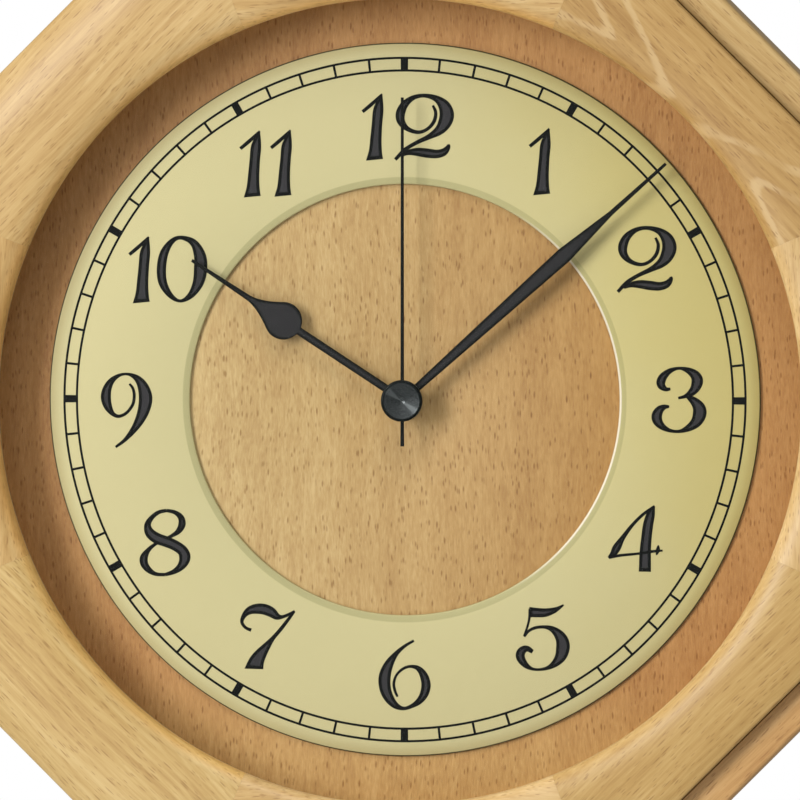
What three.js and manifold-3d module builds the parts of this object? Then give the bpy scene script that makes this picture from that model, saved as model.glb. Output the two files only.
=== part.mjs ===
// Octagonal wooden wall clock with a hinged, glazed front frame and a radio-controlled movement.
// Millimetres. +Z is up, the clock faces -Y and the wall is the plane y = 0.
// The origin is the point where the clock hangs on its nail.
// In the sizes below, a height is a distance in front of the wall, so a height h lies at y = -h.

import * as THREE from "three";
import { mergeVertices } from "three/addons/utils/BufferGeometryUtils.js";
import Module from "manifold-3d";

const wasm = await Module();
wasm.setup();

// Clearances shared by every piece.
const seat = 0.3; // between pieces that sit on, in or beside each other
const throughCut = 2; // how far a cutting shape runs past the face that it opens

// Flats that stand for a full turn.
const circleSteps = 72;
const caseRoundSteps = 3; // of a quarter turn
const ledgeRoundSteps = 2;
const curveSteps = 10; // of each curve in an outline
const capSteps = 32;
const barSteps = 20;
const levelSteps = 16;
const pinSteps = 12;
const screwSteps = 10;

// Case: eight mitred staves, an octagon outside and a circle inside.
const sides = 8;
const acrossFlats = 360;
const bumperThickness = 3;
const caseDepth = 37;
const staveWidth = 34; // from the flat outside to the bore
const caseEdgeRound = 2;
const rearTaper = 6; // how far the sides draw in towards the wall
const rearTaperDepth = 25;

// Dial board in a rebate cut from the back of the case.
const rebateWidth = 4;
const rebateDepth = 23.3;
const boardThickness = 6;
const boardRingThickness = 4;
const boardRingWidth = 3.7;

// Chapter ring.
const boardMargin = 21; // of dial board between the bore and the ring
const ringWidth = 49.5;
const ringThickness = 1.4;
const ringRimWidth = 4;
const ringRimDrop = 0.4;
const ringBevelWidth = 2.2;
const ringBevelDrop = 0.2;

// Door: eight mitred staves, flush with the case except for the ledge on the right.
const doorGap = 0.6;
const doorThickness = 14.4;
const fingerLedge = 12.2;
const ledgeEdgeRound = 0.8; // of the door's edge above the ledge
const ledgeDrop = 6.5; // of the ledge below the front of the door
const ledgeRound = 3.5; // of the ledge's outer edge
const lipOverhang = 5.3; // of the door's opening inside the bore
const lipStand = 2.2;
const innerMouldWidth = 15;
const outerMouldWidth = 21;
const outerMouldDrop = 7;
const mouldSteps = 5;

// Glass and the bead that holds it in the back of the door.
const glassSeatWidth = 4.3;
const glassThickness = 2;
const beadThickness = 2.1;
const beadWidth = 4;

// Hinge on the left upright stave.
const hingeLength = 72;
const knuckleCount = 5;
const knuckleRadius = 2.4;
const hingePinRadius = 1;
const hingePinHead = 1.2;
const hingePinHeadRadius = 1.7;
const leafThickness = 1.2;
const leafWidth = 15;
const leafGap = 0.5;
const leafScrewSpacing = 44;

// Wood screws, all countersunk.
const screwRadius = 1.2;
const screwHeadRadius = 2.4;
const screwHeadHeight = 1.1;
const screwLength = 11;

// Magnetic catch on the right upright stave.
const magnetRadius = 4;
const magnetThickness = 5;
const catchWall = 6.4;
const strikeRadius = 4.6;
const strikeThickness = 1.2;
const spikeRadius = 0.9;
const spikeLength = 6;

// Hanger plate and wall bumpers on the back of the case.
const hangInset = 13; // of the hanging point below the top flat
const hangerWidth = 44;
const hangerTall = 20;
const hangerThickness = 1.2;
const nailSlotRadius = 2;
const keyholeRadius = 4.2;
const keyholeDrop = 10;
const nailPocketDepth = 8;
const hangerScrewSpacing = 32;
const hangerRim = 1.5;
const nailPocketRoom = 2.5;
const bumperRadius = 7;
const bumperSpacing = 90;

// Movement housing, centred on the dial and as wide as the battery bay makes it.
const housingBelow = 28;
const housingAbove = 38;
const housingDepth = 16;
const housingWall = 1.4;
const bushRadius = 4;
const bushBoreRadius = 2.95;
const bushStand = 3.6; // past the face of the dial board
const nutAcrossFlats = 11;
const nutThickness = 2.4;
const washerRadius = 6;
const washerThickness = 0.5;

// Arbors, from the inside out.
const secondArborRadius = 0.5;
const minuteTubeBore = 0.85;
const minuteTubeRadius = 1.6;
const hourTubeBore = 1.95;
const hourTubeRadius = 2.6;
const postRadius = 0.5;
const bearingRadius = 1.3;

// Hands. They show eight minutes past ten.
const hourHandOverlap = 13.5; // of the hour hand's tip over the chapter ring
const minuteHandInset = 1; // of the minute hand's tip inside the ring's outer edge
const secondHandInset = 19;
const secondHandTail = 15.5;
const handThickness = 0.8;
const secondHandThickness = 0.4;
const hourHandLift = 1; // of the collet above the end of the bush
const handSpacing = 1.2;
const colletWall = 1.5;
const colletDepth = 0.4;
const tubeStand = 0.6;
const minuteStemWidth = 2.5;
const minuteBladeWidth = 5.6;
const minuteNeedleLength = 26;
const minuteBladeTaper = 22; // from its widest place to the needle
const needleWidth = 1.5;
const hourStemWidth = 2.8;
const hourBulbRadius = 6.6;
const hourBulbEndAngle = 0.2; // where the taper leaves the bulb, in radians
const hourBulbStemAngle = 0.25;
const hourTaperPull = 0.75; // how full the taper is beside the bulb, in bulb radii
const hourNeedleLength = 14;
const hourBulbTaper = 24.5; // from the bulb's centre to the needle
const secondHandWidth = 1.05;
const hubCapRadius = 7.3;
const hubCapThickness = 2;
const hubRimRound = 0.7;
const minutesPast = 8;
const hoursPast = 10;

// Gear train: modules in millimetres, teeth as counts.
const motionModule = 0.5;
const trainModule = 0.3;
const toothTip = 0.6; // above the pitch circle, in modules
const toothRoot = 0.9; // below it, in modules
const toothHalfWidth = 0.3; // at the root, in tooth spacings
const minutePinionTeeth = 10;
const motionWheelTeeth = 30;
const motionPinionTeeth = 8;
const hourWheelTeeth = 32;
const minuteWheelTeeth = 60;
const minuteThirdPinionTeeth = 8;
const minuteThirdWheelTeeth = 56;
const minuteRotorTeeth = 7;
const secondWheelTeeth = 60;
const secondThirdPinionTeeth = 10;
const secondThirdWheelTeeth = 40;
const secondRotorTeeth = 8;
const wheelThickness = 0.7;
const pinionLength = 1.3;
const motionAngle = 60; // clockwise from twelve, in degrees, seen from behind the dial
const minuteThirdAngle = 60;
const minuteRotorAngle = 30;
const secondThirdAngle = 20;
const secondRotorAngle = 50;

// Heights of the wheels above the inside floor of the housing.
const secondWheelLevel = 3.8;
const secondThirdLevel = 5.3;
const minuteThirdLevel = 6.6;
const minuteWheelLevel = 8.1;
const motionWheelLevel = 9.9;
const hourWheelLevel = 11.7;

// Motors: a magnet rotor in a flat stator whose core carries the coil.
const magnetRotorRadius = 2;
const magnetRotorLength = 1.8;
const rotorLevel = 1.2;
const statorThickness = 0.8;
const statorGap = 0.5;
const statorRimWidth = 1.6;
const coilRadius = 2.6;
const coilLength = 15;
const coilRowAbove = 21.6;
const statorLegWidth = 2.6;

// Circuit board, antenna, battery, contacts and buttons.
const circuitThickness = 0.8;
const circuitBelow = 10;
const antennaEndRoom = 1.6;
const antennaRadius = 3.4;
const antennaCoilRadius = 4.6;
const antennaCoilLength = 30;
const antennaAbove = 31;
const antennaRibSpacing = 40;
const antennaRibWidth = 2;
const batteryRadius = 7.1;
const batteryLength = 49.2;
const batteryNubRadius = 2.7;
const batteryNubLength = 1.3;
const batteryBelow = 19.2;
const contactThickness = 0.4;
const contactHalf = 4;
const contactSpringLength = 1;
const buttonRadius = 2.2;
const buttonFlangeRadius = 3;
const buttonFlangeThickness = 0.7;
const buttonStand = 1;
const buttonTravel = 0.8;
const buttonInset = 6.5;
const buttonSpacing = 9;

// Places worked out from the sizes.
const apothem = acrossFlats / 2;
const caseBoreRadius = apothem - staveWidth;
const rebateRadius = caseBoreRadius + rebateWidth;
const ringOuterRadius = caseBoreRadius - boardMargin;
const ringInnerRadius = ringOuterRadius - ringWidth;
const lipRadius = caseBoreRadius - lipOverhang;
const glassRadius = lipRadius + glassSeatWidth;
const hangPointHeight = apothem - hangInset;
const hourHandLength = ringInnerRadius + hourHandOverlap;
const minuteHandLength = ringOuterRadius - minuteHandInset;
const secondHandLength = ringOuterRadius - secondHandInset;
const minuteNeedleAt = minuteHandLength - minuteNeedleLength;
const minuteBladeAt = minuteNeedleAt - minuteBladeTaper;
const hourNeedleAt = hourHandLength - hourNeedleLength;
const hourBulbAt = hourNeedleAt - hourBulbTaper;
const farReach = 2 * apothem; // past every edge of the clock
const caseRear = bumperThickness;
const caseFront = caseRear + caseDepth;
const shoulder = caseRear + rebateDepth;
const boardFront = shoulder - seat;
const boardRear = boardFront - boardThickness;
const doorRear = caseFront + doorGap;
const doorFront = doorRear + doorThickness;
const ledgeFront = doorFront - ledgeDrop;
const glassFront = doorRear + seat + beadThickness + seat + glassThickness;
const glassRebate = glassFront + seat;
const lipHeight = glassRebate + lipStand;
const hingeX = -(apothem + knuckleRadius + seat);
const hingeHeight = (caseFront + doorRear) / 2;
const catchX = apothem - fingerLedge - catchWall - strikeRadius;
const bayLength = batteryLength + batteryNubLength + contactSpringLength + 2 * contactThickness + 3 * seat;
const housingWidth = bayLength + 2 * housingWall;
const antennaLength = bayLength - 2 * antennaEndRoom;
const buttonRight = housingWidth / 2 - buttonInset;
const housingFront = boardRear - seat;
const housingRear = housingFront - housingDepth;
const floorTop = housingRear + housingWall;
const lidRear = housingFront - housingWall;
const bushEnd = boardFront + bushStand;
const hourHandRear = bushEnd + hourHandLift;
const hourHandFront = hourHandRear + handThickness;
const minuteHandRear = hourHandFront + tubeStand + handSpacing;
const minuteHandFront = minuteHandRear + handThickness;
const secondHandRear = minuteHandFront + tubeStand + handSpacing;
const secondHandFront = secondHandRear + secondHandThickness;
const hubCapRear = secondHandFront + colletDepth + seat + tubeStand;

// Materials, one for each kind of surface.
const colours = {
  beech: { color: 0xd2ab70, roughness: 0.45, metalness: 0 },
  boardVeneer: { color: 0xc9a06c, roughness: 0.5, metalness: 0 },
  champagne: { color: 0xd3ca95, roughness: 0.4, metalness: 0.4 },
  blackPaint: { color: 0x1d1c1e, roughness: 0.45, metalness: 0 },
  turnedSteel: { color: 0x3a3d40, roughness: 0.3, metalness: 0.8 },
  glass: { color: 0xeef2f2, roughness: 0.05, metalness: 0, transparent: true, opacity: 0.2 },
  brass: { color: 0xc7a14a, roughness: 0.35, metalness: 0.9 },
  steel: { color: 0x9b9ea3, roughness: 0.35, metalness: 0.9 },
  fibre: { color: 0x6f5236, roughness: 0.85, metalness: 0 },
  rubber: { color: 0x2a2a2a, roughness: 0.9, metalness: 0 },
  blackPlastic: { color: 0x222325, roughness: 0.5, metalness: 0 },
  whitePlastic: { color: 0xe9e7df, roughness: 0.5, metalness: 0 },
  circuit: { color: 0x2f6b45, roughness: 0.6, metalness: 0 },
  copper: { color: 0xb4642f, roughness: 0.4, metalness: 0.8 },
  magnet: { color: 0x4b4c50, roughness: 0.5, metalness: 0.6 },
  cell: { color: 0x55606e, roughness: 0.35, metalness: 0.5 },
};

// Turns a closed three.js geometry into a solid, whichever way its faces were wound.
function solid(geometry) {
  const positions = new THREE.BufferGeometry();
  positions.setAttribute("position", geometry.getAttribute("position"));
  positions.setIndex(geometry.getIndex());
  const merged = mergeVertices(positions, 1e-5);
  const index = Array.from(merged.getIndex().array);
  const corners = [];
  for (let i = 0; i < index.length; i += 3) {
    const [a, b, c] = index.slice(i, i + 3);
    if (a !== b && b !== c && c !== a) corners.push(a, b, c);
  }
  const vertices = merged.getAttribute("position").array;
  const triangles = new Uint32Array(signedVolume(vertices, corners) < 0 ? corners.reverse() : corners);
  return new wasm.Manifold(new wasm.Mesh({ numProp: 3, vertProperties: vertices, triVerts: triangles }));
}

// Six times the volume that a triangle list encloses, negative when its faces point inwards.
function signedVolume(vertices, corners) {
  const [a, b, c] = [new THREE.Vector3(), new THREE.Vector3(), new THREE.Vector3()];
  let total = 0;
  for (let i = 0; i < corners.length; i += 3) {
    a.fromArray(vertices, corners[i] * 3);
    b.fromArray(vertices, corners[i + 1] * 3);
    c.fromArray(vertices, corners[i + 2] * 3);
    total += a.dot(b.cross(c));
  }
  return total;
}

// A named mesh from a solid.
function piece(name, shape, finish) {
  const result = shape.getMesh();
  const geometry = new THREE.BufferGeometry();
  geometry.setAttribute("position", new THREE.BufferAttribute(result.vertProperties, 3));
  geometry.setIndex(new THREE.BufferAttribute(result.triVerts, 1));
  geometry.computeVertexNormals();
  const material = new THREE.MeshStandardMaterial({ ...colours[finish], flatShading: true });
  const mesh = new THREE.Mesh(geometry, material);
  mesh.name = name;
  return mesh;
}

// A block between two corners, given as x, height and z.
function block(x0, x1, h0, h1, z0, z1) {
  const box = new THREE.BoxGeometry(x1 - x0, h1 - h0, z1 - z0);
  return solid(box.translate((x0 + x1) / 2, -(h0 + h1) / 2, (z0 + z1) / 2));
}

// A round bar that stands out from the wall between two heights.
function bar(radius, h0, h1, x = 0, z = 0, steps = barSteps) {
  const cylinder = new THREE.CylinderGeometry(radius, radius, h1 - h0, steps);
  return solid(cylinder.translate(x, -(h0 + h1) / 2, z));
}

// A round bar along Z or along X.
function uprightBar(radius, z0, z1, x, h, steps = levelSteps) {
  const cylinder = new THREE.CylinderGeometry(radius, radius, z1 - z0, steps);
  return solid(cylinder.rotateX(Math.PI / 2).translate(x, -h, (z0 + z1) / 2));
}

function levelBar(radius, x0, x1, h, z, steps = levelSteps) {
  const cylinder = new THREE.CylinderGeometry(radius, radius, x1 - x0, steps);
  return solid(cylinder.rotateZ(Math.PI / 2).translate((x0 + x1) / 2, -h, z));
}

// A closed profile of [radius, height] points, turned round an axis that points away from the wall.
function turned(profile, x = 0, z = 0, steps = barSteps) {
  const closed = profile[0][0] === 0 ? profile : [...profile, profile[0]];
  const points = closed.map(([radius, height]) => new THREE.Vector2(radius, height));
  return solid(new THREE.LatheGeometry(points, steps).rotateX(Math.PI).translate(x, 0, z));
}

function tube(inner, outer, h0, h1, x = 0, z = 0, steps = barSteps) {
  return turned([[inner, h0], [outer, h0], [outer, h1], [inner, h1]], x, z, steps);
}

// A flat outline seen from the front, given a thickness. The outline is a THREE.Shape in x and z.
function plate(outline, h0, h1) {
  const options = { depth: h1 - h0, bevelEnabled: false, curveSegments: curveSteps };
  const flat = new THREE.ExtrudeGeometry(outline, options);
  return solid(flat.rotateX(Math.PI / 2).translate(0, -h0, 0));
}

function outlineOf(points) {
  return new THREE.Shape(points.map(([x, z]) => new THREE.Vector2(x, z)));
}

// A point at a clock angle in degrees, clockwise from twelve.
function clockPoint(radius, degrees) {
  const angle = THREE.MathUtils.degToRad(degrees);
  return [radius * Math.sin(angle), radius * Math.cos(angle)];
}

// The corners of an octagon whose sides lie at the given distances from the centre.
function octagonCorners(distances) {
  const turn = (2 * Math.PI) / sides;
  return distances.map((near, i) => {
    const far = distances[(i + 1) % sides];
    const angle = i * turn;
    const along = (far - near * Math.cos(turn)) / Math.sin(turn);
    return [
      near * Math.cos(angle) - along * Math.sin(angle),
      near * Math.sin(angle) + along * Math.cos(angle),
    ];
  });
}

// An octagonal block with a rounded front edge.
function roundedOctagon(distances, h0, h1, roundWidth, roundDrop, steps) {
  const inner = octagonCorners(distances.map((distance) => distance - roundWidth));
  const options = {
    depth: h1 - h0 - roundDrop,
    bevelEnabled: true,
    bevelSize: roundWidth,
    bevelThickness: roundDrop,
    bevelSegments: steps,
  };
  const rounded = new THREE.ExtrudeGeometry(outlineOf(inner), options);
  const front = block(-farReach, farReach, h0, h1 + throughCut, -farReach, farReach);
  return solid(rounded.rotateX(Math.PI / 2).translate(0, -h0, 0)).intersect(front);
}

// An octagonal block whose sides draw in towards the wall.
function taperedOctagon(distances, h0, h1, taper, taperDepth) {
  const rear = octagonCorners(distances.map((distance) => distance - taper));
  const options = {
    depth: h1 - h0 - taperDepth,
    bevelEnabled: true,
    bevelSize: taper,
    bevelThickness: taperDepth,
    bevelSegments: 1,
  };
  const tapered = new THREE.ExtrudeGeometry(outlineOf(rear), options);
  return solid(tapered.rotateX(Math.PI / 2).translate(0, -h0 - taperDepth, 0));
}

// The wedge of one stave, a little inside its mitre lines.
function staveWedge(index, h0, h1) {
  const half = Math.PI / sides;
  const middle = (index * 2 * Math.PI) / sides;
  const start = seat / 2 / Math.sin(half);
  const shift = new THREE.Vector2(start, 0).rotateAround(new THREE.Vector2(), middle);
  const low = new THREE.Vector2(farReach, 0).rotateAround(new THREE.Vector2(), middle - half).add(shift);
  const high = new THREE.Vector2(farReach, 0).rotateAround(new THREE.Vector2(), middle + half).add(shift);
  return plate(new THREE.Shape([shift, low, high]), h0, h1);
}

// Names of the staves, anticlockwise from the right upright one.
const staveNames = [
  "right", "upper_right", "top", "upper_left", "left", "lower_left", "bottom", "lower_right",
];

// A countersunk screw, pointing to greater or lesser heights from the face that its head lies in.
function screwProfile(face, direction, extra = 0) {
  return [
    [0, face],
    [screwHeadRadius + extra, face],
    [screwRadius + extra, face + direction * screwHeadHeight],
    [screwRadius + extra, face + direction * (screwLength - screwRadius)],
    [0, face + direction * (screwLength + extra)],
  ];
}

function screwHole(face, direction, x, z) {
  const mouth = bar(screwHeadRadius + seat, face - throughCut, face + throughCut, x, z);
  const side = direction > 0 ? [face - throughCut, face] : [face, face + throughCut];
  const around = 2 * (screwHeadRadius + seat);
  const clear = mouth.intersect(block(x - around, x + around, side[0], side[1], z - around, z + around));
  return turned(screwProfile(face, direction, seat), x, z, screwSteps).add(clear);
}

function screw(name, face, direction, x, z) {
  return piece(name, turned(screwProfile(face, direction), x, z, screwSteps), "steel");
}

// Hinge.
const leafScrewX = hingeX + leafWidth - leafWidth / 3;
const leafScrewZ = [-leafScrewSpacing / 2, leafScrewSpacing / 2];
const caseLeafFront = hingeHeight - leafGap / 2;
const doorLeafRear = hingeHeight + leafGap / 2;

function knuckleRange(index) {
  const step = hingeLength / knuckleCount;
  const low = -hingeLength / 2 + index * step;
  return [low + seat / 2, low + step - seat / 2];
}

// One leaf with its own knuckles: the case leaf has the odd ones out, and the door leaf those between.
function hingeLeaf(name, h0, h1, firstKnuckle, screwFace, direction) {
  const half = hingeLength / 2 - seat / 2;
  let leaf = block(-apothem + seat, hingeX + leafWidth, h0, h1, -half, half);
  for (let i = firstKnuckle; i < knuckleCount; i += 2) {
    const [low, high] = knuckleRange(i);
    const tab = block(hingeX, -apothem + 2 * seat, h0, h1, low, high);
    leaf = leaf.add(tab).add(uprightBar(knuckleRadius, low, high, hingeX, hingeHeight));
  }
  const reach = half + throughCut;
  leaf = leaf.subtract(uprightBar(hingePinRadius + seat, -reach, reach, hingeX, hingeHeight, pinSteps));
  for (const z of leafScrewZ) leaf = leaf.subtract(screwHole(screwFace, direction, leafScrewX, z));
  return piece(name, leaf, "brass");
}

// The pocket that a leaf lies in, open at the side of the case or door.
function leafPocket(h0, h1) {
  const half = hingeLength / 2 + seat;
  return block(-apothem - throughCut, hingeX + leafWidth + seat, h0, h1, -half, half);
}

function hingePin() {
  const end = hingeLength / 2;
  const headEnd = end + seat + hingePinHead;
  const shank = uprightBar(hingePinRadius, -end - seat, end + seat, hingeX, hingeHeight, pinSteps);
  const heads = [[end + seat, headEnd], [-headEnd, -end - seat]];
  return heads.reduce(
    (pin, [low, high]) => pin.add(uprightBar(hingePinHeadRadius, low, high, hingeX, hingeHeight)), shank);
}

function hingeParts() {
  const parts = [
    hingeLeaf("hinge_case_leaf", caseLeafFront - leafThickness, caseLeafFront, 0, caseLeafFront, -1),
    hingeLeaf("hinge_door_leaf", doorLeafRear, doorLeafRear + leafThickness, 1, doorLeafRear, 1),
    piece("hinge_pin", hingePin(), "brass"),
  ];
  leafScrewZ.forEach((z, i) => {
    const place = i === 0 ? "lower" : "upper";
    parts.push(screw("hinge_case_screw_" + place, caseLeafFront, -1, leafScrewX, z));
    parts.push(screw("hinge_door_screw_" + place, doorLeafRear, 1, leafScrewX, z));
  });
  return parts;
}

// Hanger plate: a keyhole whose narrow slot ends at the hanging point.
const hangerFront = caseRear - seat;
const hangerRear = hangerFront - hangerThickness;
const hangerScrewX = [-hangerScrewSpacing / 2, hangerScrewSpacing / 2];
const slotTop = hangPointHeight;
const keyholeZ = slotTop - keyholeDrop;
const hangerLow = keyholeZ - keyholeRadius - hangerRim;

function hangerPlate() {
  const half = hangerWidth / 2;
  const blank = block(-half, half, hangerRear, hangerFront, hangerLow, hangerLow + hangerTall);
  const [cutRear, cutFront] = [hangerRear - throughCut, hangerFront + throughCut];
  const slotEnd = slotTop - nailSlotRadius;
  const keyhole = bar(keyholeRadius, cutRear, cutFront, 0, keyholeZ)
    .add(block(-nailSlotRadius, nailSlotRadius, cutRear, cutFront, keyholeZ, slotEnd))
    .add(bar(nailSlotRadius, cutRear, cutFront, 0, slotEnd));
  let shape = blank.subtract(keyhole);
  for (const x of hangerScrewX) shape = shape.subtract(screwHole(hangerRear, 1, x, keyholeZ));
  return piece("hanger_plate", shape, "steel");
}

// How far each side of the door lies from the centre where the right-hand sides stand back for the ledge.
// The other sides are given past their own outline, so that they stay whole.
function ledgedDistances(room) {
  return staveNames.map((side) => apothem + (side.endsWith("right") ? room - fingerLedge : fingerLedge));
}

// Case. On the right it rises beside the door and ends in the ledge.
function caseBody() {
  const flats = Array(sides).fill(apothem);
  const tapered = taperedOctagon(flats, caseRear, farReach, rearTaper, rearTaperDepth);
  const rounded = roundedOctagon(flats, caseRear, caseFront, caseEdgeRound, caseEdgeRound, caseRoundSteps);
  const raised = roundedOctagon(flats, caseRear, ledgeFront, ledgeRound, ledgeRound, caseRoundSteps);
  const doorRoom = plate(outlineOf(octagonCorners(ledgedDistances(doorGap))), caseRear - throughCut, farReach);
  const outside = rounded.add(raised.subtract(doorRoom)).intersect(tapered);
  const bore = bar(caseBoreRadius, caseRear - throughCut, caseFront + throughCut, 0, 0, circleSteps);
  const rebate = bar(rebateRadius, caseRear - throughCut, shoulder, 0, 0, circleSteps);
  return outside.subtract(bore).subtract(rebate);
}

function caseCuts() {
  const pocketHalf = keyholeRadius + nailPocketRoom;
  const pocketLow = keyholeZ - pocketHalf;
  const magnetFloor = caseFront - magnetThickness - 2 * seat;
  let cuts = leafPocket(caseLeafFront - leafThickness - seat, caseFront + throughCut);
  cuts = cuts.add(bar(magnetRadius + seat, magnetFloor, caseFront + throughCut, catchX, 0));
  const pocket = block(-pocketHalf, pocketHalf, caseRear - throughCut, caseRear + nailPocketDepth, pocketLow,
    slotTop + nailPocketRoom);
  cuts = cuts.add(pocket);
  for (const z of leafScrewZ) cuts = cuts.add(screwHole(caseLeafFront, -1, leafScrewX, z));
  for (const x of hangerScrewX) cuts = cuts.add(screwHole(hangerRear, 1, x, keyholeZ));
  return cuts;
}

function caseStaves() {
  const body = caseBody().subtract(caseCuts());
  return staveNames.map((side, i) => {
    const wedge = staveWedge(i, caseRear - throughCut, doorFront);
    return piece("case_stave_" + side, body.intersect(wedge), "beech");
  });
}

function caseFittings() {
  const magnetFront = caseFront - seat;
  const bumperZ = -(apothem - rearTaper + rebateRadius) / 2;
  const ringRadius = rebateRadius - seat;
  const ringFront = boardRear - seat;
  const boardRing = tube(ringRadius - boardRingWidth, ringRadius, ringFront - boardRingThickness, ringFront,
    0, 0, circleSteps);
  const parts = [
    piece("catch_magnet", bar(magnetRadius, magnetFront - magnetThickness, magnetFront, catchX, 0), "magnet"),
    hangerPlate(),
    screw("hanger_screw_left", hangerRear, 1, hangerScrewX[0], keyholeZ),
    screw("hanger_screw_right", hangerRear, 1, hangerScrewX[1], keyholeZ),
    piece("board_retaining_ring", boardRing, "fibre"),
  ];
  for (const [side, x] of [["left", -bumperSpacing / 2], ["right", bumperSpacing / 2]]) {
    parts.push(piece("wall_bumper_" + side, bar(bumperRadius, 0, caseRear - seat, x, bumperZ), "rubber"));
  }
  return parts;
}

// Dial board and chapter ring.
function dialParts() {
  const boardRadius = rebateRadius - seat;
  const board = tube(bushRadius + seat, boardRadius, boardRear, boardFront, 0, 0, circleSteps);
  const low = boardFront + seat;
  const face = low + ringThickness;
  const ring = turned([
    [ringInnerRadius, low],
    [ringOuterRadius, low],
    [ringOuterRadius, face - ringRimDrop],
    [ringOuterRadius - ringRimWidth, face],
    [ringInnerRadius + ringBevelWidth, face],
    [ringInnerRadius, face - ringBevelDrop],
  ], 0, 0, circleSteps);
  return [piece("dial_board", board, "boardVeneer"), piece("chapter_ring", ring, "champagne")];
}

// Door. The moulded face rises from the lip round the circle and falls to the straight sides.
function innerMould() {
  const rise = doorFront - lipHeight;
  const curve = Array.from({ length: mouldSteps + 1 }, (_, i) => {
    const angle = (i / mouldSteps) * (Math.PI / 2);
    return [
      lipRadius + innerMouldWidth * (1 - Math.cos(angle)),
      lipHeight + rise * Math.sin(angle),
    ];
  });
  const rebate = glassRadius + seat;
  return turned([
    [rebate, doorRear],
    [farReach, doorRear],
    [farReach, doorFront],
    ...curve.reverse(),
    [lipRadius, glassRebate],
    [rebate, glassRebate],
  ], 0, 0, circleSteps);
}

function doorBody() {
  const flats = Array(sides).fill(apothem);
  const moulded = roundedOctagon(flats, doorRear, doorFront, outerMouldWidth, outerMouldDrop, mouldSteps);
  const setBack = roundedOctagon(ledgedDistances(0), doorRear, doorFront, ledgeEdgeRound, ledgeEdgeRound,
    ledgeRoundSteps);
  return innerMould().intersect(moulded).intersect(setBack);
}

function doorCuts() {
  const strikeFloor = doorRear + strikeThickness + seat;
  let cuts = leafPocket(doorRear - throughCut, doorLeafRear + leafThickness + seat);
  cuts = cuts.add(bar(strikeRadius + seat, doorRear - throughCut, strikeFloor, catchX, 0));
  cuts = cuts.add(bar(spikeRadius + seat, doorRear, strikeFloor + spikeLength + seat, catchX, 0, pinSteps));
  for (const z of leafScrewZ) cuts = cuts.add(screwHole(doorLeafRear, 1, leafScrewX, z));
  return cuts;
}

function doorParts() {
  const body = doorBody().subtract(doorCuts());
  const parts = staveNames.map((side, i) => {
    const wedge = staveWedge(i, doorRear - throughCut, doorFront + throughCut);
    return piece("door_stave_" + side, body.intersect(wedge), "beech");
  });
  const glassRear = glassFront - glassThickness;
  const beadFront = glassRear - seat;
  const beadInner = glassRadius - beadWidth;
  const strikeFront = doorRear + strikeThickness;
  const strike = bar(strikeRadius, doorRear, strikeFront, catchX, 0)
    .add(bar(spikeRadius, doorRear, strikeFront + spikeLength, catchX, 0, pinSteps));
  parts.push(piece("glass_pane", bar(glassRadius, glassRear, glassFront, 0, 0, circleSteps), "glass"));
  const bead = tube(beadInner, glassRadius, beadFront - beadThickness, beadFront, 0, 0, circleSteps);
  parts.push(piece("glass_bead", bead, "fibre"));
  parts.push(piece("catch_strike", strike, "steel"));
  return parts;
}

// Hands. Each outline points to twelve, and its group turns it to the time shown.
function minuteHandOutline() {
  const stem = minuteStemWidth / 2;
  const blade = minuteBladeWidth / 2;
  const needle = needleWidth / 2;
  const half = [[stem, 0], [blade, minuteBladeAt], [needle, minuteNeedleAt], [needle / 2, minuteHandLength]];
  return outlineOf([...half, ...half.map(([x, z]) => [-x, z]).reverse()]);
}

function hourHandOutline() {
  const stem = hourStemWidth / 2;
  const needle = needleWidth / 2;
  const pull = hourBulbRadius * hourTaperPull;
  const bulbTop = hourBulbAt + hourBulbRadius;
  const bulbEndX = hourBulbRadius * Math.cos(hourBulbEndAngle);
  const bulbEndZ = hourBulbAt + hourBulbRadius * Math.sin(hourBulbEndAngle);
  const outline = new THREE.Shape();
  outline.moveTo(stem, 0);
  outline.lineTo(stem, hourBulbAt - hourBulbRadius);
  outline.absarc(0, hourBulbAt, hourBulbRadius, hourBulbStemAngle - Math.PI / 2, hourBulbEndAngle, false);
  outline.quadraticCurveTo(pull, bulbTop, needle, hourNeedleAt);
  outline.lineTo(needle / 2, hourHandLength);
  outline.lineTo(-needle / 2, hourHandLength);
  outline.lineTo(-needle, hourNeedleAt);
  outline.quadraticCurveTo(-pull, bulbTop, -bulbEndX, bulbEndZ);
  const stemSide = 1.5 * Math.PI - hourBulbStemAngle;
  outline.absarc(0, hourBulbAt, hourBulbRadius, Math.PI - hourBulbEndAngle, stemSide, false);
  outline.lineTo(-stem, hourBulbAt - hourBulbRadius);
  outline.lineTo(-stem, 0);
  return outline;
}

function secondHandOutline() {
  const [half, tip, tail] = [secondHandWidth / 2, secondHandLength, -secondHandTail];
  return outlineOf([[half, tail], [half, tip], [-half, tip], [-half, tail]]);
}

// A hand with the collet that grips its arbor.
function hand(name, outline, rear, thickness, arborRadius) {
  const front = rear + thickness;
  const bore = arborRadius + seat;
  const collet = bar(bore + colletWall, rear - colletDepth, front, 0, 0);
  const hole = bar(bore, rear - colletDepth - throughCut, front + throughCut);
  return piece(name, plate(outline, rear, front).add(collet).subtract(hole), "blackPaint");
}

function hubCap() {
  const front = hubCapRear + hubCapThickness;
  const socket = secondArborRadius + seat + colletWall;
  return turned([
    [0, hubCapRear + seat],
    [secondArborRadius + seat, hubCapRear + seat],
    [secondArborRadius + seat, secondHandFront + seat],
    [socket, secondHandFront + seat],
    [socket, hubCapRear],
    [hubCapRadius, hubCapRear],
    [hubCapRadius, front - hubRimRound],
    [hubCapRadius - hubRimRound, front],
    [0, front],
  ], 0, 0, capSteps);
}

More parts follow.
